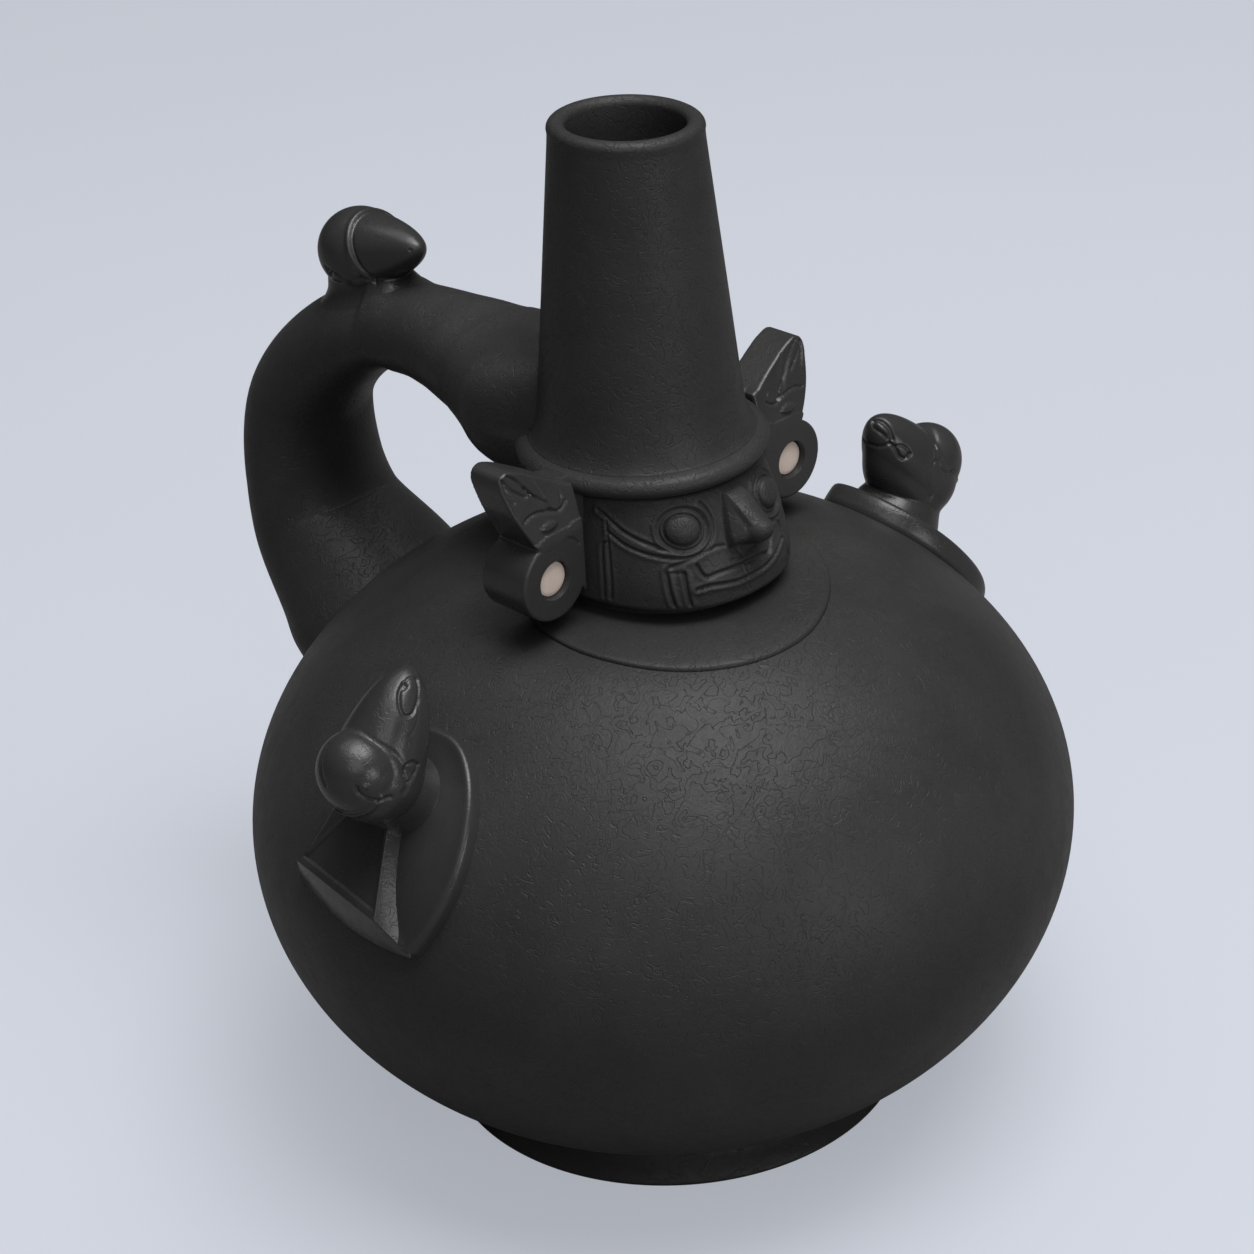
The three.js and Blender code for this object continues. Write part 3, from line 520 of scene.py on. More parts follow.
# Heights under the top: where the straight tube ends, where the lip starts to swell, its widest
# place, and where the bore under the lip begins
TUBE_END, LIP_START, LIP_WIDEST, BORE_TOP = 4.6, 3.2, 2.3, 4.4
# How flat the rim is, as a share of a half circle
RIM_FLATNESS = 0.9


def spout_radius_at(s, height):
    """Radius of the spout's outside between its ring and its lip"""
    foot = DRUM_TOP + RING_GAP
    top = SPOUT_TOP
    return s.spout_radius + (s.spout_top_radius - s.spout_radius) * (height - foot) / (top - foot)


def spout_profile(s):
    """The outline of the ring and the spout, up the outside, over the lip and down the bore"""
    foot = DRUM_TOP
    top = SPOUT_TOP
    half = s.ring_height / 2
    middle = foot + RING_GAP + half
    profile = [(radius, foot - SPOUT_OVERLAP) for radius in (s.spout_bore, s.spout_radius)]
    for angle in np.radians(np.linspace(-90, 78, 22)):
        profile.append((
            s.spout_radius + 0.2 + s.ring_width * math.cos(angle) ** 0.8,
            middle + half * math.sin(angle),
        ))
    crease = foot + RING_GAP + s.ring_height
    flare = bezier([
        (s.spout_radius + 1.15, crease + 0.05), (s.spout_radius + 0.35, crease + 0.7),
        (spout_radius_at(s, crease + 4), crease + 3), (spout_radius_at(s, crease + 9), crease + 9),
    ], 12)
    profile += list(flare)
    for height in np.linspace(crease + 12, top - TUBE_END, 14):
        profile.append((spout_radius_at(s, height), height))
    rim_middle = (s.lip_radius + s.lip_bore) / 2
    rim_half = (s.lip_radius - s.lip_bore) / 2
    profile.append((spout_radius_at(s, top - LIP_START) + 0.02, top - LIP_START))
    profile.append((s.lip_radius - 0.12, top - LIP_WIDEST))
    for angle in np.radians(np.linspace(0, 180, 15)):
        profile.append((
            rim_middle + rim_half * math.cos(angle),
            top - rim_half * RIM_FLATNESS + rim_half * RIM_FLATNESS * math.sin(angle),
        ))
    for height in np.linspace(top - BORE_TOP, foot + 3, 12):
        part = (top - BORE_TOP - height) / (top - BORE_TOP - foot)
        profile.append((s.lip_bore + (s.spout_bore - s.lip_bore) * part, height))
    return profile


# How far the drum reaches into the collar, the height of its undercut and its rounded top edge
DRUM_SINK, DRUM_UNDERCUT, DRUM_EDGE = 0.5, 0.25, 0.7


def drum_sections(s):
    """Height above the drum's foot, half-width and reach towards the face"""
    def lean(part, start, end):
        return start + (end - start) * part
    wide, front = s.drum_half_width, s.drum_front
    top_wide, top_front = s.drum_top_half_width, s.drum_top_front
    neck = s.drum_neck_height
    return np.array([
        (neck + 1.4, wide, front),
        (s.drum_height * 0.32, wide, lean(0.05, front, top_front)),
        (s.drum_height * 0.55, lean(0.2, wide, top_wide), lean(0.36, front, top_front)),
        (s.drum_height * 0.77, lean(0.5, wide, top_wide), lean(0.7, front, top_front)),
        (s.drum_height, top_wide, top_front),
    ])


def drum_rows(s):
    """Rows of the drum's closed outline: rise, half-width, reach, squareness, share of carving"""
    neck = (s.drum_neck_half_width, s.drum_neck_front)
    rows = [(rise, *neck, 2.0, 0) for rise in (-DRUM_SINK, 0.7, s.drum_neck_height - 0.2)]
    lip = s.drum_neck_height + DRUM_UNDERCUT
    for part in (0.15, 0.5, 0.85):
        rows.append((
            lip,
            neck[0] + (s.drum_half_width - 0.8 - neck[0]) * part,
            neck[1] + (s.drum_front - 1 - neck[1]) * part,
            2.1, 0,
        ))
    for angle in np.radians([-75, -50, -25]):
        rows.append((
            lip + 1 + math.sin(angle),
            s.drum_half_width - 1 + math.cos(angle),
            s.drum_front - 1 + math.cos(angle),
            2.25, 0,
        ))
    sections = drum_sections(s)
    face_foot = lip + 1
    rises = np.linspace(face_foot, s.drum_height - DRUM_EDGE, DRUM_FACE_ROWS)
    shares = (rises - sections[0, 0]) / (sections[-1, 0] - sections[0, 0])
    curve = spline(sections, np.interp(rises, sections[:, 0], np.linspace(0, 1, len(sections))))
    for rise, share_up, (_, wide, front) in zip(rises, shares, curve):
        rows.append((rise, wide, front, 2.25 - 0.25 * max(share_up, 0) ** 4, 1))
    top_wide, top_front = curve[-1][1:]
    for angle in np.radians([25, 55, 90]):
        rows.append((
            s.drum_height - DRUM_EDGE + DRUM_EDGE * math.sin(angle),
            top_wide - DRUM_EDGE + DRUM_EDGE * math.cos(angle),
            top_front - DRUM_EDGE + DRUM_EDGE * math.cos(angle),
            2.0, 0,
        ))
    throat = s.throat_radius
    for rise, radius in (
        (s.drum_height, throat + 2), (s.drum_height, throat),
        (s.drum_height / 2, throat), (-DRUM_SINK, throat),
    ):
        rows.append((rise, radius, radius, 2.0, 0))
    return np.array(rows)


# Rows of points up the face, and columns round the whole drum
DRUM_FACE_ROWS = 100
DRUM_COLUMNS = 640


def drum_turns():
    """Turns round the drum, in degrees from the middle of the face, dense over the face"""
    even = np.linspace(-1, 1, DRUM_COLUMNS + 1)[:-1]
    return np.sign(even) * (np.abs(even) * 105 + 75 * np.abs(even) ** 7)


def oval(turn, half_width, front, squareness):
    """Point of an oval ring at a turn from the face's middle, positive towards +X"""
    angle = np.radians(turn)
    depth = np.where(np.cos(angle) > 0, front, half_width)
    power = 2 / squareness
    across = np.sign(np.sin(angle)) * np.abs(np.sin(angle)) ** power
    ahead = np.sign(np.cos(angle)) * np.abs(np.cos(angle)) ** power
    return half_width * across, -depth * ahead


# Carved lines on the drum: turn in degrees from the middle of the face, and rise in millimetres
# above the drum's foot. The face looks along -Y, so a minus turn lies on the -X half.
TAIL_UPPER = [
    (-70.4, 21.4), (-66.8, 20.6), (-63.5, 19.5), (-58.4, 18.0), (-51.8, 16.7), (-45.1, 15.7),
    (-39.4, 14.9), (-33.2, 14.3),
]
TAIL_LOWER = [
    (-66.3, 17.8), (-60.7, 16.1), (-55.5, 15.1), (-48.4, 14.2), (-38.5, 13.5), (-29.9, 13.4),
    (-25.0, 13.8), (-21.0, 14.5), (-16.1, 16.4), (-14.8, 18.4), (-16.1, 20.3), (-19.2, 22.0),
]
BROW = [(-67.6, 21.6), (-57.0, 22.5), (-46.0, 22.9)]
CHEEK_LONG = [(-66.5, 19.7), (-67.5, 14.5), (-69.0, 5.0)]
CHEEK_SHORT = [(-68.3, 15.9), (-70.2, 15.2), (-71.5, 10.4), (-72.2, 5.0)]
LIP_UPPER = [
    (-42.0, 11.7), (-35.4, 12.4), (-29.3, 12.9), (-21.7, 13.7), (-16.2, 14.1), (-12.2, 13.9),
]
LIP_UPPER_RIGHT = [
    (13.5, 14.2), (15.9, 13.4), (20.3, 13.2), (23.6, 12.4), (25.4, 10.5), (24.8, 8.4), (27.1, 5.3),
]
SLIT = [
    (-27.7, 11.7), (-26.7, 10.3), (-24.9, 9.5), (-18.7, 9.7), (-9.8, 9.8), (-0.7, 9.8), (4.5, 9.7),
    (8.3, 9.4), (11.0, 10.3), (13.6, 11.4),
]
SECOND = [(-10.7, 11.1), (-5.3, 11.1), (-0.6, 11.6), (3.4, 11.9)]
SECOND_TICK = [(-6.2, 12.6), (-4.9, 11.2)]
LOWER = [
    (-30.1, 7.5), (-24.2, 7.8), (-17.4, 7.6), (-9.6, 7.3), (-1.5, 7.4), (4.8, 7.6), (12.8, 8.4),
    (21.5, 9.6),
]
TEETH = [[(-6.2, 9.6), (-6.5, 7.7)], [(-3.7, 9.6), (-4.0, 7.6)],
         [(-7.9, 6.8), (-6.5, 2.9)], [(-5.2, 6.8), (-3.6, 2.9)]]
TAB_LEFT = [(-42.8, 11.1), (-43.1, 7.9), (-41.3, 4.0)]
TAB_RIGHT = [(-34.8, 10.7), (-35.2, 7.3), (-34.0, 4.0)]
TAB_TOP = [(-41.0, 10.9), (-34.7, 10.7)]
# Grooves that both halves of the face have, then those of one half: line, depth, width, lip
MIRRORED_GROOVES = [
    ([TAIL_UPPER], 0.42, 0.34, 0.2),
    ([TAIL_LOWER], 0.36, 0.32, 0.2),
    ([BROW], 0.12, 0.3, 0.0),
    ([CHEEK_LONG, CHEEK_SHORT], 0.34, 0.26, 0.1),
]
SINGLE_GROOVES = [
    (LIP_UPPER, 0.32, 0.3, 0.12),
    (LIP_UPPER_RIGHT, 0.3, 0.28, 0.12),
    (SLIT, 0.5, 0.34, 0.12),
    (SECOND, 0.25, 0.25, 0.08),
    (SECOND_TICK, 0.2, 0.22, 0.0),
    (LOWER, 0.42, 0.34, 0.25),
    *[(tooth, 0.16, 0.22, 0.0) for tooth in TEETH],
    (TAB_LEFT, 0.38, 0.4, 0.25),
    (TAB_RIGHT, 0.38, 0.36, 0.2),
    (TAB_TOP, 0.22, 0.3, 0.0),
]
# Width of the raised clay beside a groove
LIP_WIDTH = 0.5
# The eyes' middles, and the half width and half height of their rings and balls
EYES = [(-30.4, 18.1), (23.6, 18.0)]
EYE_RING = (5.6, 4.35)
EYE_BALL = (3.4, 2.6)
# The nose: its turn, its top and tip, how far it stands out, and half the width of its ridge and
# of its base, each at the top and with what it gains on the way down
NOSE_MIDDLE = -0.6
NOSE_TOP, NOSE_TIP = 22.6, 15.0
NOSE_STAND = 6.5
NOSE_RIDGE, NOSE_BASE = (2.5, -0.7), (2.9, 1.7)
# Half width and half height of the nose's round tip, where it starts and how far it stands out
TIP_SIZE, TIP_STAND = (2.6, 2.2), (3.4, 3.7)
# The height on the drum at which turns are measured out in millimetres
FACE_LEVEL = 12


def carve_face(across, rise, s):
    """Height of the carving over the drum, for a distance round the drum and a rise"""
    sections = drum_sections(s)
    wide, front = (np.interp(FACE_LEVEL, sections[:, 0], sections[:, i]) for i in (1, 2))
    fine = np.linspace(-180, 180, 3601)
    x, y = oval(fine, wide, front, 2.25)
    walked = np.concatenate([[0], np.cumsum(np.hypot(np.diff(x), np.diff(y)))])
    walked -= walked[len(walked) // 2]

    def unrolled(line):
        line = np.asarray(line, dtype=float)
        return np.stack([np.interp(line[:, 0], fine, walked), line[:, 1]], axis=1)

    u = np.interp(across, fine, walked)
    spots = np.stack([u, rise], axis=1)
    height = np.zeros(len(u))

    def groove(line, depth, width, lip):
        nonlocal height
        gap = line_distance(spots, rounded_line(unrolled(line), 4))
        height = height - depth * bell(gap, 0, width)
        if lip:
            height = height + lip * bell(gap - width, LIP_WIDTH * 0.6, LIP_WIDTH)

    def mirrored(line):
        middle = (EYES[0][0] + EYES[1][0]) / 2
        return [(2 * middle - turn, up) for turn, up in line]

    for lines, *cut in MIRRORED_GROOVES:
        for line in (*lines, *map(mirrored, lines)):
            groove(line, *cut)
    for line, *cut in SINGLE_GROOVES:
        groove(line, *cut)

    for eye in EYES:
        middle_u, middle_rise = unrolled([eye])[0]
        far = np.hypot((u - middle_u) / EYE_RING[0], (rise - middle_rise) / EYE_RING[1])
        near = np.hypot((u - middle_u) / EYE_BALL[0], (rise - middle_rise) / EYE_BALL[1])
        height = height * smooth_step(far, 0.9, 1.02)
        height = height + 0.3 * bell(far, 0.97, 0.07)
        height = height - 0.3 * bell(far, 0.8, 0.1) * (near > 1)
        height = height + 0.25 * bell(near, 1.17, 0.07)
        height = height - 0.35 * bell(near, 1.03, 0.05)
        height = height + np.where(near < 1, 1.55 * np.sqrt(np.clip(1 - near ** 2, 0, 1)), 0)

    # The nose: a steep wedge that widens downwards, with two nostril wings and a round tip
    middle = float(np.interp(NOSE_MIDDLE, fine, walked))
    off = np.abs(u - middle)
    down = np.clip((NOSE_TOP - rise) / (NOSE_TOP - NOSE_TIP), 0, 1.4)
    upper = np.clip(down, 0, 1)
    under = np.clip((NOSE_TIP - 0.4 - rise) / 1.3, 0, 1)
    stand = NOSE_STAND * upper ** 0.62 * np.sqrt(np.clip(1 - under ** 2.2, 0, 1))
    ridge_half = NOSE_RIDGE[0] + NOSE_RIDGE[1] * upper
    base_half = NOSE_BASE[0] + NOSE_BASE[1] * upper
    side = np.clip((off - ridge_half) / (base_half - ridge_half), 0, 1)
    crown = 1 - 0.1 * (np.minimum(off, ridge_half) / ridge_half) ** 2
    nose = stand * (crown - 0.62 * side ** 0.8) * (1 - smooth_step(side, 0.86, 1.0))
    crease = np.abs(off - ridge_half - 0.35)
    nose = nose - 0.3 * bell(crease, 0, 0.35) * smooth_step(down, 0.3, 0.6) * (nose > 0.4)
    tip = 1 - (off / TIP_SIZE[0]) ** 2 - ((rise - NOSE_TIP + 0.2) / TIP_SIZE[1]) ** 2
    tip = np.where(tip > 0, TIP_STAND[0] + TIP_STAND[1] * np.sqrt(np.clip(tip, 0, 1)), 0)
    nose = np.maximum(nose, tip)
    return np.where(nose > 0.02, np.maximum(nose, height * smooth_step(-nose, -0.4, 0)), height)


# Share of the carving on the face's first three rows, and backwards on its last three
EDGE_EASE = (0.3, 0.6, 0.9)


def drum_points(s):
    """The drum's grid of points, with the carving laid over its face"""
    rows = drum_rows(s)
    turns = drum_turns()
    grid = np.empty((len(turns), len(rows), 3))
    for j, (rise, wide, front, square, _) in enumerate(rows):
        x, y = oval(turns, wide, front, square)
        grid[:, j, 0], grid[:, j, 1], grid[:, j, 2] = x, y, DRUM_FOOT + rise
    along = np.roll(grid, -1, axis=0) - np.roll(grid, 1, axis=0)
    upward = np.gradient(grid, axis=1)
    out = np.cross(along, upward)
    out /= np.maximum(np.linalg.norm(out, axis=2, keepdims=True), 1e-9)
    face = np.flatnonzero(rows[:, 4] > 0)
    mesh_turn, mesh_rise = np.meshgrid(turns, rows[face, 0], indexing="ij")
    height = carve_face(mesh_turn.ravel(), mesh_rise.ravel(), s).reshape(mesh_turn.shape)
    ease = np.ones(len(face))
    ease[:3], ease[-3:] = EDGE_EASE, EDGE_EASE[::-1]
    grid[:, face] += out[:, face] * (height * ease)[:, :, None]
    return grid


# Where the handle leaves the globe, in degrees above its equator
HANDLE_SEAT = 21


def handle_knots(s):
    """Middle line of the handle, from inside the globe, over the crest and into the spout"""
    seat = math.radians(HANDLE_SEAT)
    seat_out = s.globe_radius * math.cos(seat)
    seat_height = s.equator_height + s.globe_rise * math.sin(seat)
    reach = s.globe_radius + s.handle_reach
    crest, crest_out = s.handle_crest, s.handle_crest_out
    return np.array([
        (0, seat_out - 6, seat_height - 14),
        (0, seat_out + 8.3, seat_height),
        (0, reach - 2, seat_height + 14),
        (0, reach - 1.35, (seat_height + crest) / 2 + 8),
        (0, (reach + crest_out) / 2, crest - 4.6),
        (0, crest_out, crest),
        (0, (crest_out + s.spout_radius) / 2 + 1, crest - 0.7),
        (0, s.spout_radius - 2, s.shoulder_height + 30.5),
    ])


# Half the handle's width at even shares of its length, its thickness as a share of its width,
# and its number of rings
HANDLE_HALF_WIDTHS = [(0, 26, 0), (1, 15.6, 0), (2, 11.4, 0), (3, 20.0, 0)]
HANDLE_FLATNESS = 0.8
HANDLE_RINGS = 200
# How far the top of the handle and its underside are let down, at shares of its length
HANDLE_TOP = [
    (0.0, 0.0), (0.5, 0.0), (0.65, -2.6), (0.7, -1.3), (0.75, -0.8), (0.8, -0.4), (0.85, 1.0),
    (0.9, 3.4), (0.95, 5.6), (1.0, 7.8),
]
HANDLE_UNDER = [
    (0.0, 0.0), (0.5, 0.0), (0.65, -0.8), (0.7, 0.1), (0.75, 0.2), (0.8, -0.1), (0.85, -0.2),
    (0.9, 0.4), (0.95, 1.3), (1.0, 1.7),
]
# How much wider the handle grows towards the spout, and how square its top gets there
HANDLE_FLARE = [
    (0.0, 0.0), (0.5, 0.0), (0.65, -0.7), (0.7, -1.2), (0.75, -1.4), (0.8, -1.6), (0.84, -1.6),
    (0.87, -1.2), (0.9, -0.4), (0.93, 0.9), (0.96, 2.4), (1.0, 4.2),
]
HANDLE_SQUARENESS = 0.3
# How deep the handle's two ends lie in the globe, in the spout and in the drum, and the shares of
# its length over which they settle there
SEAT_DEPTH, ROOT_IN_SPOUT, ROOT_IN_DRUM = 0.9, 0.8, 1.6
SEAT_SHARE, ROOT_SHARE = 0.13, 0.07


def settle(points, along, s):
    """Lays the two ends of the handle on the globe and round the spout's foot"""
    middle = np.array([0, 0, s.equator_height])
    local = points - middle
    upper, lower = ((s.globe_radius, s.globe_radius, rise) for rise in (s.globe_rise, s.globe_drop))
    reach = np.linalg.norm(
        local / np.where(local[:, 2:3] > 0, upper, lower), axis=1, keepdims=True,
    )
    on_globe = local / reach * (1 - SEAT_DEPTH / s.globe_radius) + middle
    weight = 1 - smooth_step(along, 0.0, SEAT_SHARE)[:, None]
    points = points + (on_globe - points) * weight * (reach > 0.985)
    radial = np.hypot(points[:, 0], points[:, 1])
    ring_top = DRUM_TOP + s.ring_height
    target = np.where(
        points[:, 2] > ring_top,
        spout_radius_at(s, points[:, 2]) - ROOT_IN_SPOUT, s.drum_half_width - ROOT_IN_DRUM,
    )
    weight = smooth_step(along, 1 - ROOT_SHARE, 1.0)
    factor = 1 + (target / np.maximum(radial, 1) - 1) * weight * (radial > target)
    points[:, 0] *= factor
    points[:, 1] *= factor
    return points


def handle_place(s):
    """Gives each ring and turn of the handle its place"""
    knots = handle_knots(s)
    shares = np.linspace(0, 1, HANDLE_RINGS + 1)
    centres = spline(knots, shares)
    after, before = (spline(knots, np.clip(shares + step, 0, 1)) for step in (1e-4, -1e-4))
    ahead = after - before
    ahead /= np.linalg.norm(ahead, axis=1, keepdims=True)
    # This way points into the loop, so the handle's underside has a rise above 0
    out = np.stack([np.zeros(len(ahead)), -ahead[:, 2], ahead[:, 1]], axis=1)
    widths = spline(np.array(HANDLE_HALF_WIDTHS, dtype=float), shares)[:, 1]
    top, under, flare = (
        rounded_line(line, 12) for line in (HANDLE_TOP, HANDLE_UNDER, HANDLE_FLARE)
    )
    widths = widths + np.interp(shares, flare[:, 0], flare[:, 1])
    squareness = HANDLE_SQUARENESS * smooth_step(shares, 0.72, 0.98)

    def place(ring, turn):
        along = shares[ring]
        size = np.where((ring == 0) | (ring == HANDLE_RINGS), 0.0, 1.0)
        half = widths[ring] * size
        power = 1 - squareness[ring] * (np.sin(turn) < 0)
        rise = np.sign(np.sin(turn)) * np.abs(np.sin(turn)) ** power
        side = np.sign(np.cos(turn)) * np.abs(np.cos(turn)) ** power
        points = centres[ring] + out[ring] * (half * HANDLE_FLATNESS * rise)[:, None]
        points[:, 0] += half * side
        for line, facing in ((top, -rise), (under, rise)):
            down = np.interp(along, line[:, 0], line[:, 1])
            points[:, 2] -= down * np.clip(facing, 0, 1) * size
        return settle(points, along, s)

    return place


def turned_parts(name, start, end, stations):
    """A round body along a line, with a radius at each share of the way"""
    start, end = np.asarray(start, dtype=float), np.asarray(end, dtype=float)
    along = end - start
    span = np.linalg.norm(along)
    along = along / span
    side = np.cross(along, (0.0, 0.0, 1.0) if abs(along[2]) < 0.9 else (1.0, 0.0, 0.0))
    side /= np.linalg.norm(side)
    other = np.cross(along, side)
    stations = np.asarray(stations, dtype=float)

    def place(ring, turn):
        where, radius = stations[ring, 0], stations[ring, 1]
        return (
            start + along * (where * span)[:, None]
            + side * (radius * np.cos(turn))[:, None] + other * (radius * np.sin(turn))[:, None]
        )

    return shaped_ball(name, ROUND_SEGMENTS, len(stations) - 1, place)


def ball_stations(radius, steps=40):
    """A ball: its radius at each share of the way through"""
    angles = np.linspace(0, math.pi, steps + 1)
    return np.stack([0.5 - 0.5 * np.cos(angles), radius * np.sin(angles)], axis=1)


def snout_stations(root, taper, cap=0.0, steps=40):
    """A round-ended cone: its radius at the root, how much it narrows on the way to the tip, and
    the share of its length that a rounded back takes"""
    back = [(cap * (1 - math.cos(angle)), root * math.sin(angle))
            for angle in np.linspace(0, math.pi / 2, 13)[:-1]]
    shares = np.sin(np.linspace(0, math.pi / 2, steps + 1))
    return (back if cap else [(0, 0), (0.001, root * 0.5)]) + [
        (cap + (1 - cap) * along, root * math.sqrt(1 - along ** 2) * (1 - taper * along))
        for along in shares[:-1]
    ] + [(1, 0)]


# Where the right figure sits: turn from the face's middle, and angle above the equator
FIGURE_PLACE = (87, 33.5)


def figure_frame(s):
    """The right figure's seat on the globe: its place, and the ways forward, up and out"""
    turn, angle = np.radians(FIGURE_PLACE)
    radius = s.globe_radius * math.cos(angle)
    origin = np.array([
        radius * math.sin(turn), -radius * math.cos(turn),
        s.equator_height + s.globe_rise * math.sin(angle),
    ])
    out = np.array([
        math.cos(angle) * math.sin(turn) / s.globe_radius,
        -math.cos(angle) * math.cos(turn) / s.globe_radius,
        math.sin(angle) / s.globe_rise,
    ])
    out /= np.linalg.norm(out)
    forward = np.array([-math.cos(turn), -math.sin(turn), 0.0])
    up = np.cross(out, forward)
    up /= np.linalg.norm(up)
    if up[2] < 0:
        up = -up
    return SimpleNamespace(origin=origin, forward=forward, up=up, out=out)


def in_figure(seat, forward, up, out):
    """Places given by how far forward, up and out of the seat they lie"""
    forward, up, out = (np.atleast_1d(np.asarray(v, dtype=float)) for v in (forward, up, out))
    return (
        seat.origin + seat.forward * forward[:, None] + seat.up * up[:, None]
        + seat.out * out[:, None]
    )


def on_globe(seat, forward, up, grow, s):
    """The place on the grown globe that lies straight out from a spot of the figure's plane"""
    spot = in_figure(seat, forward, up, np.zeros(np.size(forward)))
    grow = np.broadcast_to(np.asarray(grow, dtype=float), spot.shape[:1])
    sizes = (s.globe_radius, s.globe_radius, s.globe_rise)
    scale = np.stack([size + grow for size in sizes], axis=1)
    local = (spot - np.array([0, 0, s.equator_height])) / scale
    way = seat.out / scale
    a = (way ** 2).sum(axis=1)
    b = 2 * (local * way).sum(axis=1)
    c = (local ** 2).sum(axis=1) - 1
    reach = (-b + np.sqrt(np.clip(b * b - 4 * a * c, 0, None))) / (2 * a)
    return spot + seat.out * reach[:, None]


def plaque_outline():
    """Distance of the plaque's edge from its middle, for a direction in the figure's plane"""
    top, front, toe, heel = 14.7, 16.4, np.array([11.4, -23.9]), np.array([-19.4, -17.5])
    crown = np.array([toe[0] * 0.17, top])
    front_edge = bezier([crown, (front * 0.8, top), (front * 1.46, -top * 0.54), toe], 60)
    t = np.linspace(0, 1, 31)[:, None]
    middle = np.array([(toe[0] + heel[0]) / 2 + 3.8, toe[1] + 1.5])
    foot_edge = toe * (1 - t) ** 2 + 2 * middle * t * (1 - t) + heel * t ** 2
    rear_edge = bezier([
        heel, (heel[0] * 0.5, heel[1] * 0.2), (heel[0] * 1.05, top * 1.06), crown,
    ], 60)
    edge = np.vstack([front_edge[:-1], foot_edge[:-1], rear_edge])
    local = edge - PLAQUE_MIDDLE
    angle = np.arctan2(local[:, 1], local[:, 0])
    order = np.argsort(angle)
    return angle[order], np.hypot(local[:, 0], local[:, 1])[order]


PLAQUE_MIDDLE = np.array([-2.0, -5.0])
# How deep the plaque's underside lies in the globe, and how high its face stands over it
PLAQUE_SINK, PLAQUE_FACE = -1.8, 3.0
# The plaque's edge, from the globe up and in: distance in from the outline, and height
PLAQUE_EDGE = [
    (0.0, PLAQUE_SINK), (0.0, 0.6), (0.05, 1.6), (0.12, 2.5), (0.24, 2.95), (0.42, 3.25),
    (0.65, 3.42), (0.9, 3.5), (1.2, 3.5), (1.6, 3.42), (2.2, 3.26), (3.2, 3.1), (4.5, PLAQUE_FACE),
]
# Rows from the middle of the underside, over the edge, to the middle of the face: share of the
# way to the outline, distance in from it, and height over the globe
PLAQUE_ROWS = np.array(
    [(part, 0, PLAQUE_SINK) for part in (0.0, 0.5, 0.9)]
    + [(1, inset, height) for inset, height in PLAQUE_EDGE]
    + [(part, 0, PLAQUE_FACE) for part in (0.62, 0.5, 0.38, 0.26, 0.14, 0.0)]
)
# How much thicker the plaque grows towards its toe
PLAQUE_TOE = 0.12


def plaque_place(seat, s):
    """Gives each ring and turn of a plaque its place on the globe"""
    angles, radii = plaque_outline()

    def place(ring, turn):
        edge = np.interp(turn, angles, radii, period=2 * math.pi)
        portion, inset, grow = PLAQUE_ROWS[ring].T
        part = portion - inset / edge
        forward = PLAQUE_MIDDLE[0] + part * edge * np.cos(turn)
        up = PLAQUE_MIDDLE[1] + part * edge * np.sin(turn)
        grow = np.where(grow > 0, grow * (1 + PLAQUE_TOE * smooth_step(-up, 2, 20)), grow)
        return on_globe(seat, forward, up, grow, s)

    return place


def neck_rows(radius, foot_radius, flare_height, top, top_radius, sink=0.0):
    """Rows of a neck that flows out of a surface: its radius, and its height over the surface"""
    rows = [(0.0, -1.2 - sink), (foot_radius * 0.6, -1.2 - sink), (foot_radius, -1.0 - sink)]
    for angle in np.radians(np.linspace(0, 90, 13)):
        rows.append((
            foot_radius - (foot_radius - radius) * math.sin(angle),
            -0.25 - sink + (flare_height + sink) * (1 - math.cos(angle)),
        ))
    for part in np.linspace(0.15, 1, 8):
        rows.append((
            radius + (top_radius - radius) * part,
            flare_height + (top - flare_height) * part,
        ))
    rows.append((0.0, top))
    return np.array(rows)


def new_material(name):
    """A material whose tree holds only its coordinates, its shader and its output"""
    material = bpy.data.materials.get(name) or bpy.data.materials.new(name)
    material.use_nodes = True
    tree = material.node_tree
    tree.nodes.clear()
    kinds = ("TexCoord", "BsdfPrincipled", "OutputMaterial")
    return material, tree, *(tree.nodes.new("ShaderNode" + kind) for kind in kinds)


def link(tree, source, output, target, socket):
    tree.links.new(source.outputs[output], target.inputs[socket])


def noise_node(tree, coords, scale, detail, roughness=0.5, distortion=0.0):
    node = tree.nodes.new("ShaderNodeTexNoise")
    node.inputs["Scale"].default_value = scale
    node.inputs["Detail"].default_value = detail
    node.inputs["Roughness"].default_value = roughness
    node.inputs["Distortion"].default_value = distortion
    link(tree, coords, "Object", node, "Vector")
    return node


def ramp_node(tree, source, output, stops):
    node = tree.nodes.new("ShaderNodeValToRGB")
    first, last = node.color_ramp.elements[0], node.color_ramp.elements[1]
    first.position, first.color = stops[0][0], (*stops[0][1], 1)
    last.position, last.color = stops[-1][0], (*stops[-1][1], 1)
    link(tree, source, output, node, "Fac")
    return node


def line_field(tree, noise, width):
    """Thin winding lines where the noise passes its middle value"""
    middle = tree.nodes.new("ShaderNodeMath")
    middle.operation = "SUBTRACT"
    middle.inputs[1].default_value = 0.5
    link(tree, noise, "Fac", middle, 0)
    far = tree.nodes.new("ShaderNodeMath")
    far.operation = "ABSOLUTE"
    link(tree, middle, "Value", far, 0)
    return ramp_node(tree, far, "Value", [(0.0, (0, 0, 0)), (width, (1, 1, 1))])


# How strongly the clay reflects on the big pieces and on the small modelled ones
SPECULAR, FINE_SPECULAR = 0.17, 0.34


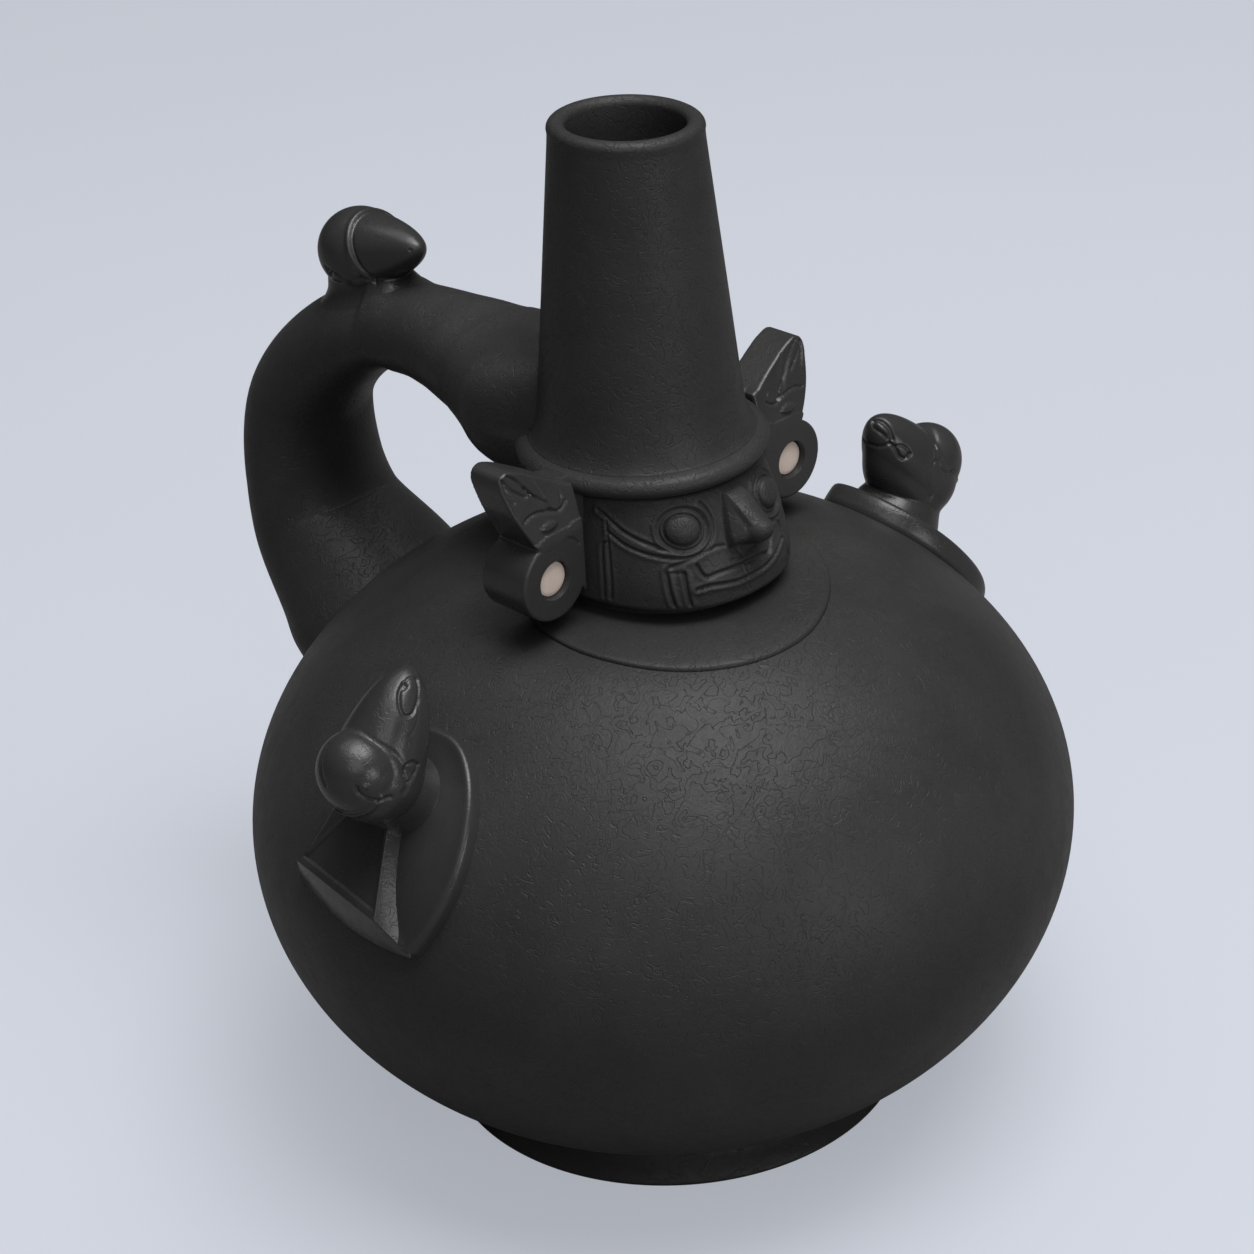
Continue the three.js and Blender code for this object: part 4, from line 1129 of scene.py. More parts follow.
def clay_material(name, looks, roughness, marks):
    """Burnished black clay: satin, with fine strokes from the polishing stone"""
    material, tree, coords, shader, output = new_material(name)
    clouds = noise_node(tree, coords, 45, 5, 0.6, 0.4)
    tint = ramp_node(tree, clouds, "Fac", [
        (0.3, tuple(looks.clay)), (0.75, tuple(looks.clay_light)),
    ])
    link(tree, tint, "Color", shader, "Base Color")
    wear = noise_node(tree, coords, 160, 4, 0.6, 1.2)
    gloss = ramp_node(tree, wear, "Fac", [
        (0.25, (roughness - 0.05,) * 3), (0.8, (roughness + 0.07,) * 3),
    ])
    link(tree, gloss, "Color", shader, "Roughness")
    strokes = noise_node(tree, coords, 620, 3, 0.55, 2.6)
    scribble = line_field(tree, noise_node(tree, coords, 330, 1, 0.4, 1.4), 0.022)
    grain = noise_node(tree, coords, 2600, 2, 0.5, 0.6)
    soft = noise_node(tree, coords, 90, 2, 0.5, 0.3)
    # The marks, from the broadest to the finest: pattern, strength and depth in metres
    below = None
    for pattern, channel, strength, distance in (
        (soft, "Fac", 0.12, 0.0006), (strokes, "Fac", 0.5, 0.0002),
        (scribble, "Color", 0.6, 0.00012), (grain, "Fac", 0.12, 0.00004),
    ):
        bump = tree.nodes.new("ShaderNodeBump")
        bump.inputs["Strength"].default_value = strength * marks
        bump.inputs["Distance"].default_value = distance
        link(tree, pattern, channel, bump, "Height")
        if below:
            link(tree, below, "Normal", bump, "Normal")
        below = bump
    link(tree, below, "Normal", shader, "Normal")
    shader.inputs["IOR"].default_value = 1.5
    shader.inputs["Specular IOR Level"].default_value = SPECULAR if marks == 1 else FINE_SPECULAR
    link(tree, shader, "BSDF", output, "Surface")
    return material


def inlay_material(looks):
    """Cream inlay, smooth, with faint clouds"""
    material, tree, coords, shader, output = new_material("cream_inlay")
    clouds = noise_node(tree, coords, 300, 4, 0.6, 0.5)
    light = tuple(looks.inlay)
    tint = ramp_node(tree, clouds, "Fac", [
        (0.3, tuple(0.9 * c for c in light)), (0.7, tuple(min(1.05 * c, 1) for c in light)),
    ])
    link(tree, tint, "Color", shader, "Base Color")
    gloss = ramp_node(tree, clouds, "Fac", [(0.3, (0.36,) * 3), (0.7, (0.46,) * 3)])
    link(tree, gloss, "Color", shader, "Roughness")
    link(tree, shader, "BSDF", output, "Surface")
    return material


# Share of the floor's own light in what the camera sees of it, which softens the shadow
FLOOR_GLOW = 0.62
# Colour of the floor as the clay sees it, darker than the paper so that the clay stays black
FLOOR_BOUNCE = (0.22, 0.22, 0.23)


def floor_material(looks):
    """A plain pale paper floor with a barely visible grain"""
    material, tree, coords, shader, output = new_material("pale_floor")
    clouds = noise_node(tree, coords, 3, 2)
    base = tuple(looks.floor)
    tint = ramp_node(tree, clouds, "Fac", [
        (0.3, tuple(0.985 * c for c in base)), (0.7, base),
    ])
    # The colour mix has its share at socket 0, its two colours at 6 and 7 and its result at 2
    path = tree.nodes.new("ShaderNodeLightPath")
    bounce = tree.nodes.new("ShaderNodeMix")
    bounce.data_type = "RGBA"
    bounce.inputs[6].default_value = (*FLOOR_BOUNCE, 1)
    link(tree, path, "Is Camera Ray", bounce, 0)
    link(tree, tint, "Color", bounce, 7)
    link(tree, bounce, 2, shader, "Base Color")
    shader.inputs["Roughness"].default_value = 0.9
    shader.inputs["Specular IOR Level"].default_value = 0.1
    glow = tree.nodes.new("ShaderNodeEmission")
    glow.inputs["Strength"].default_value = 1.0
    link(tree, tint, "Color", glow, "Color")
    part = tree.nodes.new("ShaderNodeMath")
    part.operation = "MULTIPLY"
    part.inputs[1].default_value = FLOOR_GLOW
    link(tree, path, "Is Camera Ray", part, 0)
    mix = tree.nodes.new("ShaderNodeMixShader")
    link(tree, part, "Value", mix, "Fac")
    link(tree, shader, "BSDF", mix, 1)
    link(tree, glow, "Emission", mix, 2)
    link(tree, mix, "Shader", output, "Surface")
    return material


# How strong the burnishing marks are on the small modelled pieces, against 1 on the big ones
FINE_MARKS = 0.3


def clay(context, fine=False):
    """The clay of the big pieces, or of the small modelled ones"""
    looks = context.scene.bottle_looks
    if fine:
        return clay_material("black_clay_fine", looks, looks.fine_roughness, FINE_MARKS)
    return clay_material("black_clay", looks, looks.roughness, 1.0)


class BOTTLE_OT_globe(bpy.types.Operator):
    """Spins the hollow globe in one skin, with its throat"""

    bl_idname = "bottle.globe"
    bl_label = "Globe"

    def execute(self, context):
        s = millimetres(context.scene.bottle_sizes)
        piece = lathe("globe", globe_profile(s), closed=False, steps=256)
        dress(piece, clay(context), "blackware", "lower_bowl", "upper_bowl")
        return {"FINISHED"}


class BOTTLE_OT_foot(bpy.types.Operator):
    """Spins the ring foot with its concave flare"""

    bl_idname = "bottle.foot"
    bl_label = "Foot ring"

    def execute(self, context):
        s = millimetres(context.scene.bottle_sizes)
        piece = lathe("foot", foot_profile(s), closed=True, steps=256)
        dress(piece, clay(context), "blackware", "foot_ring")
        return {"FINISHED"}


# How far the collar's middle lies to the left and back
COLLAR_ASIDE, COLLAR_BACK = 2.6, 2.5
# How far the collar reaches into the shoulder, and the radius that its edge is drawn for
COLLAR_SINK, COLLAR_DRAWN = -0.4, 28.5
# Rows of the collar's top: distance in from the edge, and share of its thickness
COLLAR_ROWS = [
    (0, 0.4), (0.08, 0.7), (0.25, 0.9), (0.5, 1), (1.5, 1), (5, 1), (12, 1), (20, 1), (100, 1),
]
# The collar's hand-laid edge: direction in degrees from +X, and distance from its middle
COLLAR_EDGE = [
    (0, 29.1), (40, 29.0), (90, 29.0), (140, 29.3), (181, 29.6), (200, 29.7), (220, 30.1),
    (240, 30.2), (258, 30.0), (275, 29.4), (290, 28.5), (307, 27.8), (325, 27.9), (342, 28.7),
    (360, 29.1),
]


class BOTTLE_OT_collar(bpy.types.Operator):
    """Lays the thin disc on the shoulder, under the drum"""

    bl_idname = "bottle.collar"
    bl_label = "Shoulder collar"

    def execute(self, context):
        s = millimetres(context.scene.bottle_sizes)
        rows = np.array(
            [(inset, COLLAR_SINK) for inset in (100, 8, 0)]
            + [(inset, s.collar_thickness * share) for inset, share in COLLAR_ROWS]
        )
        edge = rounded_line(COLLAR_EDGE, 6)

        def place(ring, turn):
            reach = np.interp(np.degrees(turn) % 360, edge[:, 0], edge[:, 1])
            reach = reach * s.collar_radius / COLLAR_DRAWN
            radius = np.clip(reach - rows[ring, 0], 0, None)
            x = radius * np.cos(turn) - COLLAR_ASIDE
            y = radius * np.sin(turn) - s.collar_forward + COLLAR_BACK
            height = shoulder_at(s, np.maximum(np.hypot(x, y), s.flat_radius))
            return np.stack([x, y, height + rows[ring, 1]], axis=1)

        piece = shaped_ball("collar", COLLAR_SEGMENTS, len(rows) - 1, place)
        dress(piece, clay(context), "blackware", "shoulder_collar")
        return {"FINISHED"}


class BOTTLE_OT_face(bpy.types.Operator):
    """Shapes the drum and carves the face on it"""

    bl_idname = "bottle.face"
    bl_label = "Face drum"

    def execute(self, context):
        s = millimetres(context.scene.bottle_sizes)
        piece = wrapped_sheet("face", drum_points(s))
        dress(piece, clay(context), "blackware", "face_drum", "right_eye", "left_eye", "nose")
        return {"FINISHED"}


# The mouth is a little lower on one side: its direction round the spout, and its fall
LIP_SIDE, LIP_TILT = math.radians(44), 0.03
# The tilt grows between these two distances under the top
TILT_START, TILT_FULL = 40, 4


class BOTTLE_OT_spout(bpy.types.Operator):
    """Spins the spout with the ring at its foot and its open bore"""

    bl_idname = "bottle.spout"
    bl_label = "Spout"

    def execute(self, context):
        s = millimetres(context.scene.bottle_sizes)
        piece = lathe("spout_tube", spout_profile(s), closed=True, steps=200, angle=40)
        points = from_frame(coordinates(piece))
        high = smooth_step(points[:, 2], SPOUT_TOP - TILT_START, SPOUT_TOP - TILT_FULL)
        across = points[:, 0] * math.cos(LIP_SIDE) - points[:, 1] * math.sin(LIP_SIDE)
        points[:, 2] -= high * LIP_TILT * (across + s.lip_radius)
        set_coordinates(piece, to_frame(points))
        dress(piece, clay(context), "blackware", "spout", "brow_ring")
        return {"FINISHED"}


class BOTTLE_OT_handle(bpy.types.Operator):
    """Shapes the loop handle from the back of the globe to the spout"""

    bl_idname = "bottle.handle"
    bl_label = "Handle"

    def execute(self, context):
        s = millimetres(context.scene.bottle_sizes)
        piece = shaped_ball("handle_loop", HANDLE_SEGMENTS, HANDLE_RINGS, handle_place(s))
        dress(piece, clay(context), "blackware", "handle")
        return {"FINISHED"}


# The beak: radius at its root, how much it narrows, and how steeply it points up in degrees
BEAK_ROOT, BEAK_TAPER, BEAK_PITCH = 7.9, 0.3, 13
# The hood's length as a share of its width, and how far in front of its middle the beak starts
HOOD_STRETCH, BEAK_AHEAD = 1.05, 1.5
# The bird's neck: its radius, the radius of its foot, the height of the flare, its height and the
# radius at its top
BIRD_NECK = (7.9, 11.4, 3.2, 9.5, 7.4)
# The neck's stretch across the handle, towards the spout and away from it
NECK_ACROSS, NECK_AHEAD, NECK_BEHIND = 0.86, 1.45, 0.97
# The hood's edge: its distance from the spout's axis at a height, its slant, and the heights
# between which it fades in
HOOD_EDGE, HOOD_EDGE_AT, HOOD_SLANT = 73.2, 164.0, 0.55
HOOD_EDGE_FROM, HOOD_EDGE_FULL = 151.8, 153.8
# Size of the cells with which small bodies are fused, in millimetres
HEAD_CELL, EAR_CELL = 0.2, 0.24
# Carved marks of the bird: distance from the middle plane, distance from the spout's axis, height
BIRD_MARKS = [
    ([
        (5.2, 80.2, 152.4), (6.9, 79.0, 153.6), (7.7, 78.0, 154.2), (7.6, 77.0, 152.6),
        (7.7, 75.6, 153.6), (7.6, 74.4, 153.2), (7.2, 73.6, 152.3), (6.2, 72.8, 151.4),
        (5.5, 71.3, 151.3), (5.2, 69.6, 152.0),
    ], 0.34, 0.36),
    ([(2.0, 58.7, 160.5)], 0.22, 0.3),
]


class BOTTLE_OT_bird(bpy.types.Operator):
    """Models the bird's head that stands on the handle"""

    bl_idname = "bottle.bird"
    bl_label = "Bird's head"

    def execute(self, context):
        s = millimetres(context.scene.bottle_sizes)
        handle = bpy.data.objects.get("handle_loop")
        if handle is None:
            raise RuntimeError("The bird stands on the handle, so the handle is made first")
        head = np.array([0, s.bird_out, s.bird_height])
        pitch = math.radians(BEAK_PITCH)
        along = np.array([0, -math.cos(pitch), math.sin(pitch)])
        half = along * s.bird_radius * HOOD_STRETCH
        hood = turned_parts(
            "bird_hood_ball", head - half, head + half, ball_stations(s.bird_radius),
        )
        beak = turned_parts(
            "bird_beak_cone", head + along * BEAK_AHEAD, head + along * s.beak_length,
            snout_stations(BEAK_ROOT, BEAK_TAPER),
        )
        rows = neck_rows(*BIRD_NECK)

        def place(ring, turn):
            x = NECK_ACROSS * rows[ring, 0] * np.cos(turn)
            stretch = np.where(np.sin(turn) < 0, NECK_AHEAD, NECK_BEHIND)
            y = s.bird_out + rows[ring, 0] * np.sin(turn) * stretch
            points = np.empty((len(ring), 3))
            for i, (spot_x, spot_y) in enumerate(zip(x, y)):
                start = Vector(to_frame([[spot_x, spot_y, s.bird_height + 30]])[0])
                hit, where, _, _ = handle.ray_cast(start, Vector((0, 0, -1)))
                if not hit:
                    raise RuntimeError("The bird's neck reaches past the handle")
                points[i] = (spot_x, spot_y, from_frame([where])[0][2] + rows[ring[i], 1])
            return points

        neck = shaped_ball("bird_neck_flare", NECK_SEGMENTS, len(rows) - 1, place)
        piece = fused("bird_head", [hood, beak, neck], HEAD_CELL, smoothing=6)
        points = from_frame(coordinates(piece))
        ahead = HOOD_EDGE - points[:, 1] - HOOD_SLANT * (HOOD_EDGE_AT - points[:, 2])
        ahead = ahead / math.hypot(1, HOOD_SLANT)
        above = smooth_step(points[:, 2], HOOD_EDGE_FROM, HOOD_EDGE_FULL)
        # A ridge on the hood's edge, and a groove in front of it
        relief = 0.42 * bell(ahead, -0.5, 0.55) - 0.5 * bell(ahead, 0.35, 0.4)
        points += normals(piece) * (relief * above)[:, None]
        set_coordinates(piece, to_frame(points))
        carved(piece, BIRD_MARKS, np.abs, lambda spots: spots * np.array([-1, 1, 1]))
        dress(piece, clay(context, fine=True), "blackware", "bird_neck", "bird_hood", "bird_beak")
        return {"FINISHED"}


# Where the ear starts at its front and in the drum, and the middle of its disc
EAR_INNER, EAR_BODY_INNER = 23.8, 19.0
EAR_DISC_OUT, EAR_DISC_RISE = 31.6, 12.0
# The wing's outline seen from the face, then the lines carved on it, each with depth and width
EAR_WING = [
    (35.0, 19.0), (36.8, 22.4), (38.6, 26.4), (39.5, 29.6), (39.9, 31.9), (39.4, 33.6),
    (37.9, 34.3), (35.6, 33.7), (31.5, 31.6), (27.6, 29.4), (25.6, 28.1),
]
EAR_LINES = [
    ([
        (37.6, 33.6), (36.0, 32.2), (34.6, 30.4), (33.2, 28.6), (31.8, 27.4), (30.6, 26.4),
        (29.8, 24.8), (28.7, 24.3), (27.5, 24.6), (26.6, 25.3),
    ], 0.42, 0.32),
    ([(34.6, 30.4), (32.9, 28.2), (31.4, 26.0), (29.9, 24.7)], 0.22, 0.26),
    ([(39.0, 33.2), (38.0, 31.6), (36.6, 30.2), (34.9, 28.9)], 0.4, 0.34),
    ([(39.0, 33.2), (38.8, 31.4), (38.2, 29.6), (37.8, 28.8)], 0.36, 0.3),
    ([(33.3, 32.3), (32.2, 30.4), (31.5, 29.0), (31.1, 27.8)], 0.16, 0.22),
    ([(27.4, 27.0), (27.2, 26.1), (27.6, 25.8)], 0.2, 0.25),
    ([(36.6, 25.0), (35.2, 25.5), (33.6, 25.6), (31.6, 25.2), (30.0, 24.7)], 0.4, 0.34),
    ([(27.6, 18.9), (26.4, 18.1), (25.5, 17.0)], 0.16, 0.24),
]
# The rim over the disc, the bump on it (across, rise and half sizes), how far the wing sweeps
# back, how much its back leans in, and the bevel of its front edges
EAR_RIM = [(35.0, 20.2), (33.2, 20.9), (31.0, 21.1), (29.0, 21.0), (27.4, 21.0), (26.2, 21.5)]
EAR_BUMP = (31.6, 22.6, 2.1, 0.85)
EAR_SWEEP = 3.6
EAR_LEAN = 3.0
EAR_BEVEL = 0.45
# The turn that points a round body's axis along Y
FACING_FRONT = (math.radians(90), 0, 0)
# The disc's slightly domed face: steps in from its edge, each with how far it comes forward
DISC_STEPS = [(0.18, 0.12), (0.7, 0.08), (1.1, 0.03)]


def ear_outline(inner, s):
    """The ear's outline seen from the face: across and rise, in millimetres"""
    radius = s.ear_disc_radius
    wing_out, wing_rise = EAR_WING[0]
    start = math.degrees(math.atan2(wing_rise - EAR_DISC_RISE, wing_out - EAR_DISC_OUT))
    arc = [
        (EAR_DISC_OUT + radius * math.cos(angle), EAR_DISC_RISE + radius * math.sin(angle))
        for angle in np.radians(np.linspace(-148, start, 44))
    ]
    wing = list(map(tuple, rounded_line(EAR_WING, 5)))
    return [(inner, 27.6), (inner, 6.6)] + arc + wing[1:]


def ear_slab(name, outline, front, back):
    """A slab on the outline, with its front edges bevelled and its back leaning in at the top"""
    deselect()
    bpy.ops.mesh.primitive_circle_add(vertices=len(outline), radius=0.01, fill_type="NGON")
    piece = bpy.context.object
    piece.name = name
    spots = [(across, -front, DRUM_FOOT + rise) for across, rise in outline]
    set_coordinates(piece, to_frame(spots))
    edit("FACE", "SELECT")
    depth = (front + back) * MM
    bpy.ops.mesh.extrude_region_move(TRANSFORM_OT_translate={"value": (0, depth, 0)})
    leave_edit()
    points = from_frame(coordinates(piece))
    behind = points[:, 1] > back - 0.01
    points[:, 1] -= EAR_LEAN * smooth_step(points[:, 2] - DRUM_FOOT, 12, 34) * behind
    set_coordinates(piece, to_frame(points))
    select_nothing("EDGE")
    points = from_frame(coordinates(piece))
    for edge in piece.data.edges:
        ends = points[list(edge.vertices)]
        edge.select = bool(np.all(ends[:, 1] < -front + 0.01))
    edit()
    bpy.ops.mesh.bevel(offset=EAR_BEVEL * MM, segments=3, affect="EDGES")
    leave_edit()
    turn_normals_out()
    return piece


def disc_place(s, behind):
    """The middle of the ear's disc, at a distance behind the ear's front"""
    return to_frame([[EAR_DISC_OUT, behind - s.ear_front, DRUM_FOOT + EAR_DISC_RISE]])[0]


def carve_ear(piece, s):
    """Carves the wing's lines into the ear's front, sinks the part over the rim and adds a bump"""
    points = from_frame(coordinates(piece))
    rise = points[:, 2] - DRUM_FOOT
    flat = np.stack([points[:, 0], rise], axis=1)
    front = smooth_step(-points[:, 1], s.ear_front - 1.1, s.ear_front - 0.35)
    depth = np.zeros(len(points))
    for line, deep, wide in EAR_LINES:
        depth += deep * bell(line_distance(flat, rounded_line(line, 4)), 0, wide)
    rim = rounded_line(EAR_RIM, 6)
    rim_height = np.interp(points[:, 0], rim[::-1, 0], rim[::-1, 1])
    depth += 0.42 * smooth_step(rise - rim_height, -0.1, 0.3)
    across, up, half_across, half_up = EAR_BUMP
    bump = 1 - ((flat[:, 0] - across) / half_across) ** 2 - ((rise - up) / half_up) ** 2
    depth -= 0.55 * np.sqrt(np.clip(bump, 0, 1))
    points[:, 1] += depth * front
    set_coordinates(piece, to_frame(points))


class BOTTLE_OT_ears(bpy.types.Operator):
    """Models one winged ear with its round recess and mirrors it"""

    bl_idname = "bottle.ears"
    bl_label = "Ears"

    def execute(self, context):
        s = millimetres(context.scene.bottle_sizes)
        back = s.ear_thickness - s.ear_front
        face = ear_slab("ear_face", ear_outline(EAR_INNER, s), s.ear_front, 0.0)
        body = ear_slab("ear_body", ear_outline(EAR_BODY_INNER, s), s.ear_front - 3, back)
        piece = fused("right_ear_wing", [face, body], EAR_CELL, smoothing=1)
        # The recess is a cone that opens forward
        deselect()
        bpy.ops.mesh.primitive_cone_add(
            vertices=DISC_SEGMENTS,
            radius1=(s.inlay_radius + 0.25) * MM, radius2=(s.inlay_radius + 1.35) * MM,
            depth=4.2 * MM, rotation=FACING_FRONT, location=disc_place(s, -0.35),
        )
        cutter = bpy.context.object
        carve_ear(piece, s)
        activate(piece)
        cut = piece.modifiers.new("Recess", "BOOLEAN")
        cut.operation = "DIFFERENCE"
        cut.object = cutter
        cut.solver = "EXACT"
        bpy.ops.object.modifier_apply(modifier=cut.name)
        bpy.data.objects.remove(cutter)
        activate(piece)
        bpy.ops.object.shade_smooth_by_angle(angle=math.radians(40))
        points = from_frame(coordinates(piece))
        points[:, 1] += EAR_SWEEP * smooth_step(points[:, 2] - DRUM_FOOT, 19, 36)
        set_coordinates(piece, to_frame(points))
        other = mirror_copy(piece, "left_ear_wing")
        dress(piece, clay(context, fine=True), "blackware", "right_ear")
        dress(other, clay(context, fine=True), "blackware", "left_ear")
        return {"FINISHED"}


class BOTTLE_OT_inlays(bpy.types.Operator):
    """Turns the two pale discs that are set in the ears"""

    bl_idname = "bottle.inlays"
    bl_label = "Inlaid discs"

    def execute(self, context):
        s = millimetres(context.scene.bottle_sizes)
        deselect()
        bpy.ops.mesh.primitive_cylinder_add(
            vertices=DISC_SEGMENTS, radius=(s.inlay_radius + 0.2) * MM, depth=1.2 * MM,
            rotation=FACING_FRONT, location=disc_place(s, 1.7),
        )
        piece = bpy.context.object
        piece.name = "right_disc"
        bpy.ops.object.transform_apply(location=True, rotation=True, scale=True)
        select_nothing("FACE")
        for polygon in piece.data.polygons:
            polygon.select = polygon.normal.y < -0.9
        edit()
        for inset, ahead in DISC_STEPS:
            bpy.ops.mesh.inset(thickness=inset * MM)
            bpy.ops.transform.translate(value=(0, -ahead * MM, 0))
        leave_edit()
        close_up(piece, 50)
        other = mirror_copy(piece, "left_disc")
        material = inlay_material(context.scene.bottle_looks)
        dress(piece, material, "pale_inlay", "right_ear_inlay")
        dress(other, material, "pale_inlay", "left_ear_inlay")
        return {"FINISHED"}


# Corners of the fan's top and of its foot: forward, up and out, from the inner corners outwards
TAIL_TOP = [(-7.6, -3.6, 4.9), (1.3, -3.6, 4.7), (5.8, -20.9, 2.6), (-16.8, -17.2, 1.7)]
TAIL_BASE = [(-9.6, -2.6, 0.0), (3.2, -3.6, 1.0), (11.2, -24.4, -5.0), (-22.6, -19.6, -7.2)]
# How far the foot's outer edge bulges, down and out, and in how many stretches it is drawn
TAIL_BULGE, TAIL_BULGE_OUT, TAIL_STRETCHES = 2.4, 0.5, 8
# The rim's width at the sides and what the outer edge has more, the depth of the panel inside it
# and the bevel of the edges
TAIL_RIM, TAIL_RIM_MORE, TAIL_PANEL, TAIL_BEVEL = 0.55, 0.8, 0.45, 0.22


def tail_piece(name, seat):
    """The fan of a tail: a wedge with a straight rim, a sunk panel and a curved foot"""
    top = np.array(TAIL_TOP, dtype=float)
    base = np.array(TAIL_BASE, dtype=float)
    part = np.linspace(0, 1, TAIL_STRETCHES + 1)[:, None]
    rim = top[2] + (top[3] - top[2]) * part
    foot = base[2] + (base[3] - base[2]) * part
    bulge = (4 * part * (1 - part))[:, 0]
    foot[:, 1] -= TAIL_BULGE * bulge
    foot[:, 2] += TAIL_BULGE_OUT * bulge
    upper = np.vstack([top[:2], rim])
    lower = np.vstack([base[:2], foot])
    deselect()
    bpy.ops.mesh.primitive_cylinder_add(vertices=len(upper), radius=0.01, depth=0.01)
    piece = bpy.context.object
    piece.name = name
    x, y, z = coordinates(piece).T
    order = np.round(np.arctan2(x, y) / (2 * math.pi) * len(upper)).astype(int) % len(upper)
    places = np.where((z > 0)[:, None], upper[order], lower[order])
    set_coordinates(piece, to_frame(in_figure(seat, *places.T)))
    select_nothing("FACE")
    high = set(np.flatnonzero(z > 0).tolist())
    for polygon in piece.data.polygons:
        polygon.select = set(polygon.vertices) == high
    edit()
    bpy.ops.mesh.inset(thickness=TAIL_RIM * MM)
    leave_edit()
    chosen = [polygon for polygon in piece.data.polygons if polygon.select]
    points = from_frame(coordinates(piece))
    ring = sorted(set(index for polygon in chosen for index in polygon.vertices))
    level = (points[ring] - seat.origin) @ seat.up
    # Only the outer edge of the panel lies this far down
    for index, up in zip(ring, level):
        if up < -12:
            points[index] += seat.up * TAIL_RIM_MORE - seat.out * 0.15
    set_coordinates(piece, to_frame(points))
    edit()
    bpy.ops.mesh.inset(thickness=0.2 * MM)
    bpy.ops.transform.translate(value=tuple(-seat.out * TAIL_PANEL * MM))
    leave_edit()
    turn_normals_out()
    edit("EDGE", "DESELECT")
    bpy.ops.mesh.edges_select_sharp(sharpness=math.radians(20))
    bpy.ops.mesh.bevel(offset=TAIL_BEVEL * MM, segments=3, affect="EDGES")
    leave_edit()
    bpy.ops.object.shade_smooth_by_angle(angle=math.radians(40))
    return piece


# Carved marks of the two side figures, in the figure's own directions: forward, up and out
HEAD_CREASE = [
    (-3.0, 7.4, 21.6), (-0.1, 7.6, 21.4), (3.2, 7.7, 20.1), (5.1, 7.5, 17.9), (6.3, 6.9, 15.2),
    (6.9, 5.4, 13.1), (6.9, 3.0, 10.4), (5.6, 1.9, 9.0),
]
LEFT_MARKS = [
    ([
        (2.57, 18.7, 16.56), (2.42, 18.0, 16.8), (2.16, 19.0, 16.9), (2.2, 17.6, 17.1),
        (2.42, 16.8, 17.1), (3.5, 14.8, 16.7), (4.46, 13.9, 15.8), (4.74, 14.7, 14.6),
        (4.29, 16.7, 14.0), (3.56, 19.0, 14.1), (2.6, 20.6, 14.6),
    ], 0.42, 0.34),
    ([(2.2, 19.0, 16.9), (2.0, 20.2, 16.0), (2.4, 20.6, 15.0)], 0.16, 0.3),
    ([
        (3.3, 19.6, 13.1), (4.3, 16.6, 13.4), (5.0, 14.5, 13.0), (5.6, 12.3, 13.4),
        (5.8, 11.1, 14.0),
    ], 0.14, 0.24),
    ([
        (7.1, 4.6, 12.5), (6.9, 5.9, 12.9), (6.8, 6.9, 12.2), (6.4, 7.3, 10.8), (6.1, 7.1, 9.1),
    ], 0.34, 0.32),
    ([(7.1, 4.6, 12.5), (7.2, 3.6, 11.0), (6.8, 4.7, 9.9), (6.1, 7.1, 9.1)], 0.34, 0.32),
    ([(6.9, 5.6, 11.9), (6.8, 5.2, 10.8)], 0.5, 0.7),
    ([
        (5.2, -0.6, 20.6), (5.4, -1.2, 20.1), (6.1, -1.6, 18.4), (6.7, -1.3, 15.9),
        (6.7, 0.2, 13.1),
    ], 0.45, 0.36),
    ([(-2.7, 4.0, 22.9), (-2.6, 1.7, 23.1), (-1.8, -0.4, 22.9), (-0.3, -2.4, 22.0)], 0.25, 0.4),
    ([(6.2, 0.0, 19.8)], -0.4, 0.5),
    ([(7.1, -0.4, 16.0)], -0.4, 0.5),
    (HEAD_CREASE, 0.2, 0.6),
]
RIGHT_MARKS = [
    ([(-3.4, 19.3, 11.2), (-0.7, 19.5, 10.6), (2.2, 19.0, 11.1), (3.3, 18.7, 12.4)], 0.4, 0.34),
    ([
        (3.3, 18.7, 12.4), (3.9, 17.2, 12.2), (4.4, 15.1, 11.4), (4.9, 14.1, 11.7),
        (5.2, 13.8, 13.1),
    ], 0.42, 0.32),
    ([(3.9, 17.4, 12.6), (4.5, 16.1, 13.5), (5.0, 14.4, 13.4), (5.1, 13.9, 12.1)], 0.26, 0.28),
    ([(-0.2, 22.3, 14.5), (0.8, 22.0, 15.2), (3.0, 20.6, 14.6), (3.5, 18.8, 13.3)], 0.5, 0.36),
    ([(-0.6, 22.2, 14.6), (0.5, 22.2, 13.3), (2.3, 21.3, 13.0), (3.3, 19.2, 12.8)], 0.2, 0.3),
    ([(1.0, 22.0, 14.2), (2.8, 20.8, 13.8)], -0.3, 0.5),
    ([(4.6, 7.7, 18.5), (5.6, 7.1, 17.5), (6.6, 5.9, 16.6)], 0.36, 0.32),
    ([
        (6.6, 7.2, 13.8), (6.2, 6.8, 15.3), (6.4, 6.3, 15.6), (7.0, 4.8, 14.7), (7.3, 3.6, 14.7),
        (7.6, 2.0, 15.7),
    ], 0.36, 0.34),
    (HEAD_CREASE, 0.2, 0.6),
]


# How far the right figure is turned round the globe's middle, aside and up
FIGURE_TURN = (math.radians(-0.2), math.radians(1.25))
# How much wider the foot of the right figure's neck is
FOOT_SPREAD = 0.32
# The left plaque lies deeper in the globe, and the right one stands higher
LEFT_PLAQUE_SINK, RIGHT_PLAQUE_RISE = 0.9, 0.5
# The head's place in the figure: how far up it sits, the height of the ball's and the muzzle's
# middles over the globe, how far the neck sits under the head, and how far the ball reaches in
HEAD_UP, BALL_LIFT, MUZZLE_LIFT, NECK_DOWN, BALL_INWARD = 2.2, 16.0, 13.6, 0.6, 9.2
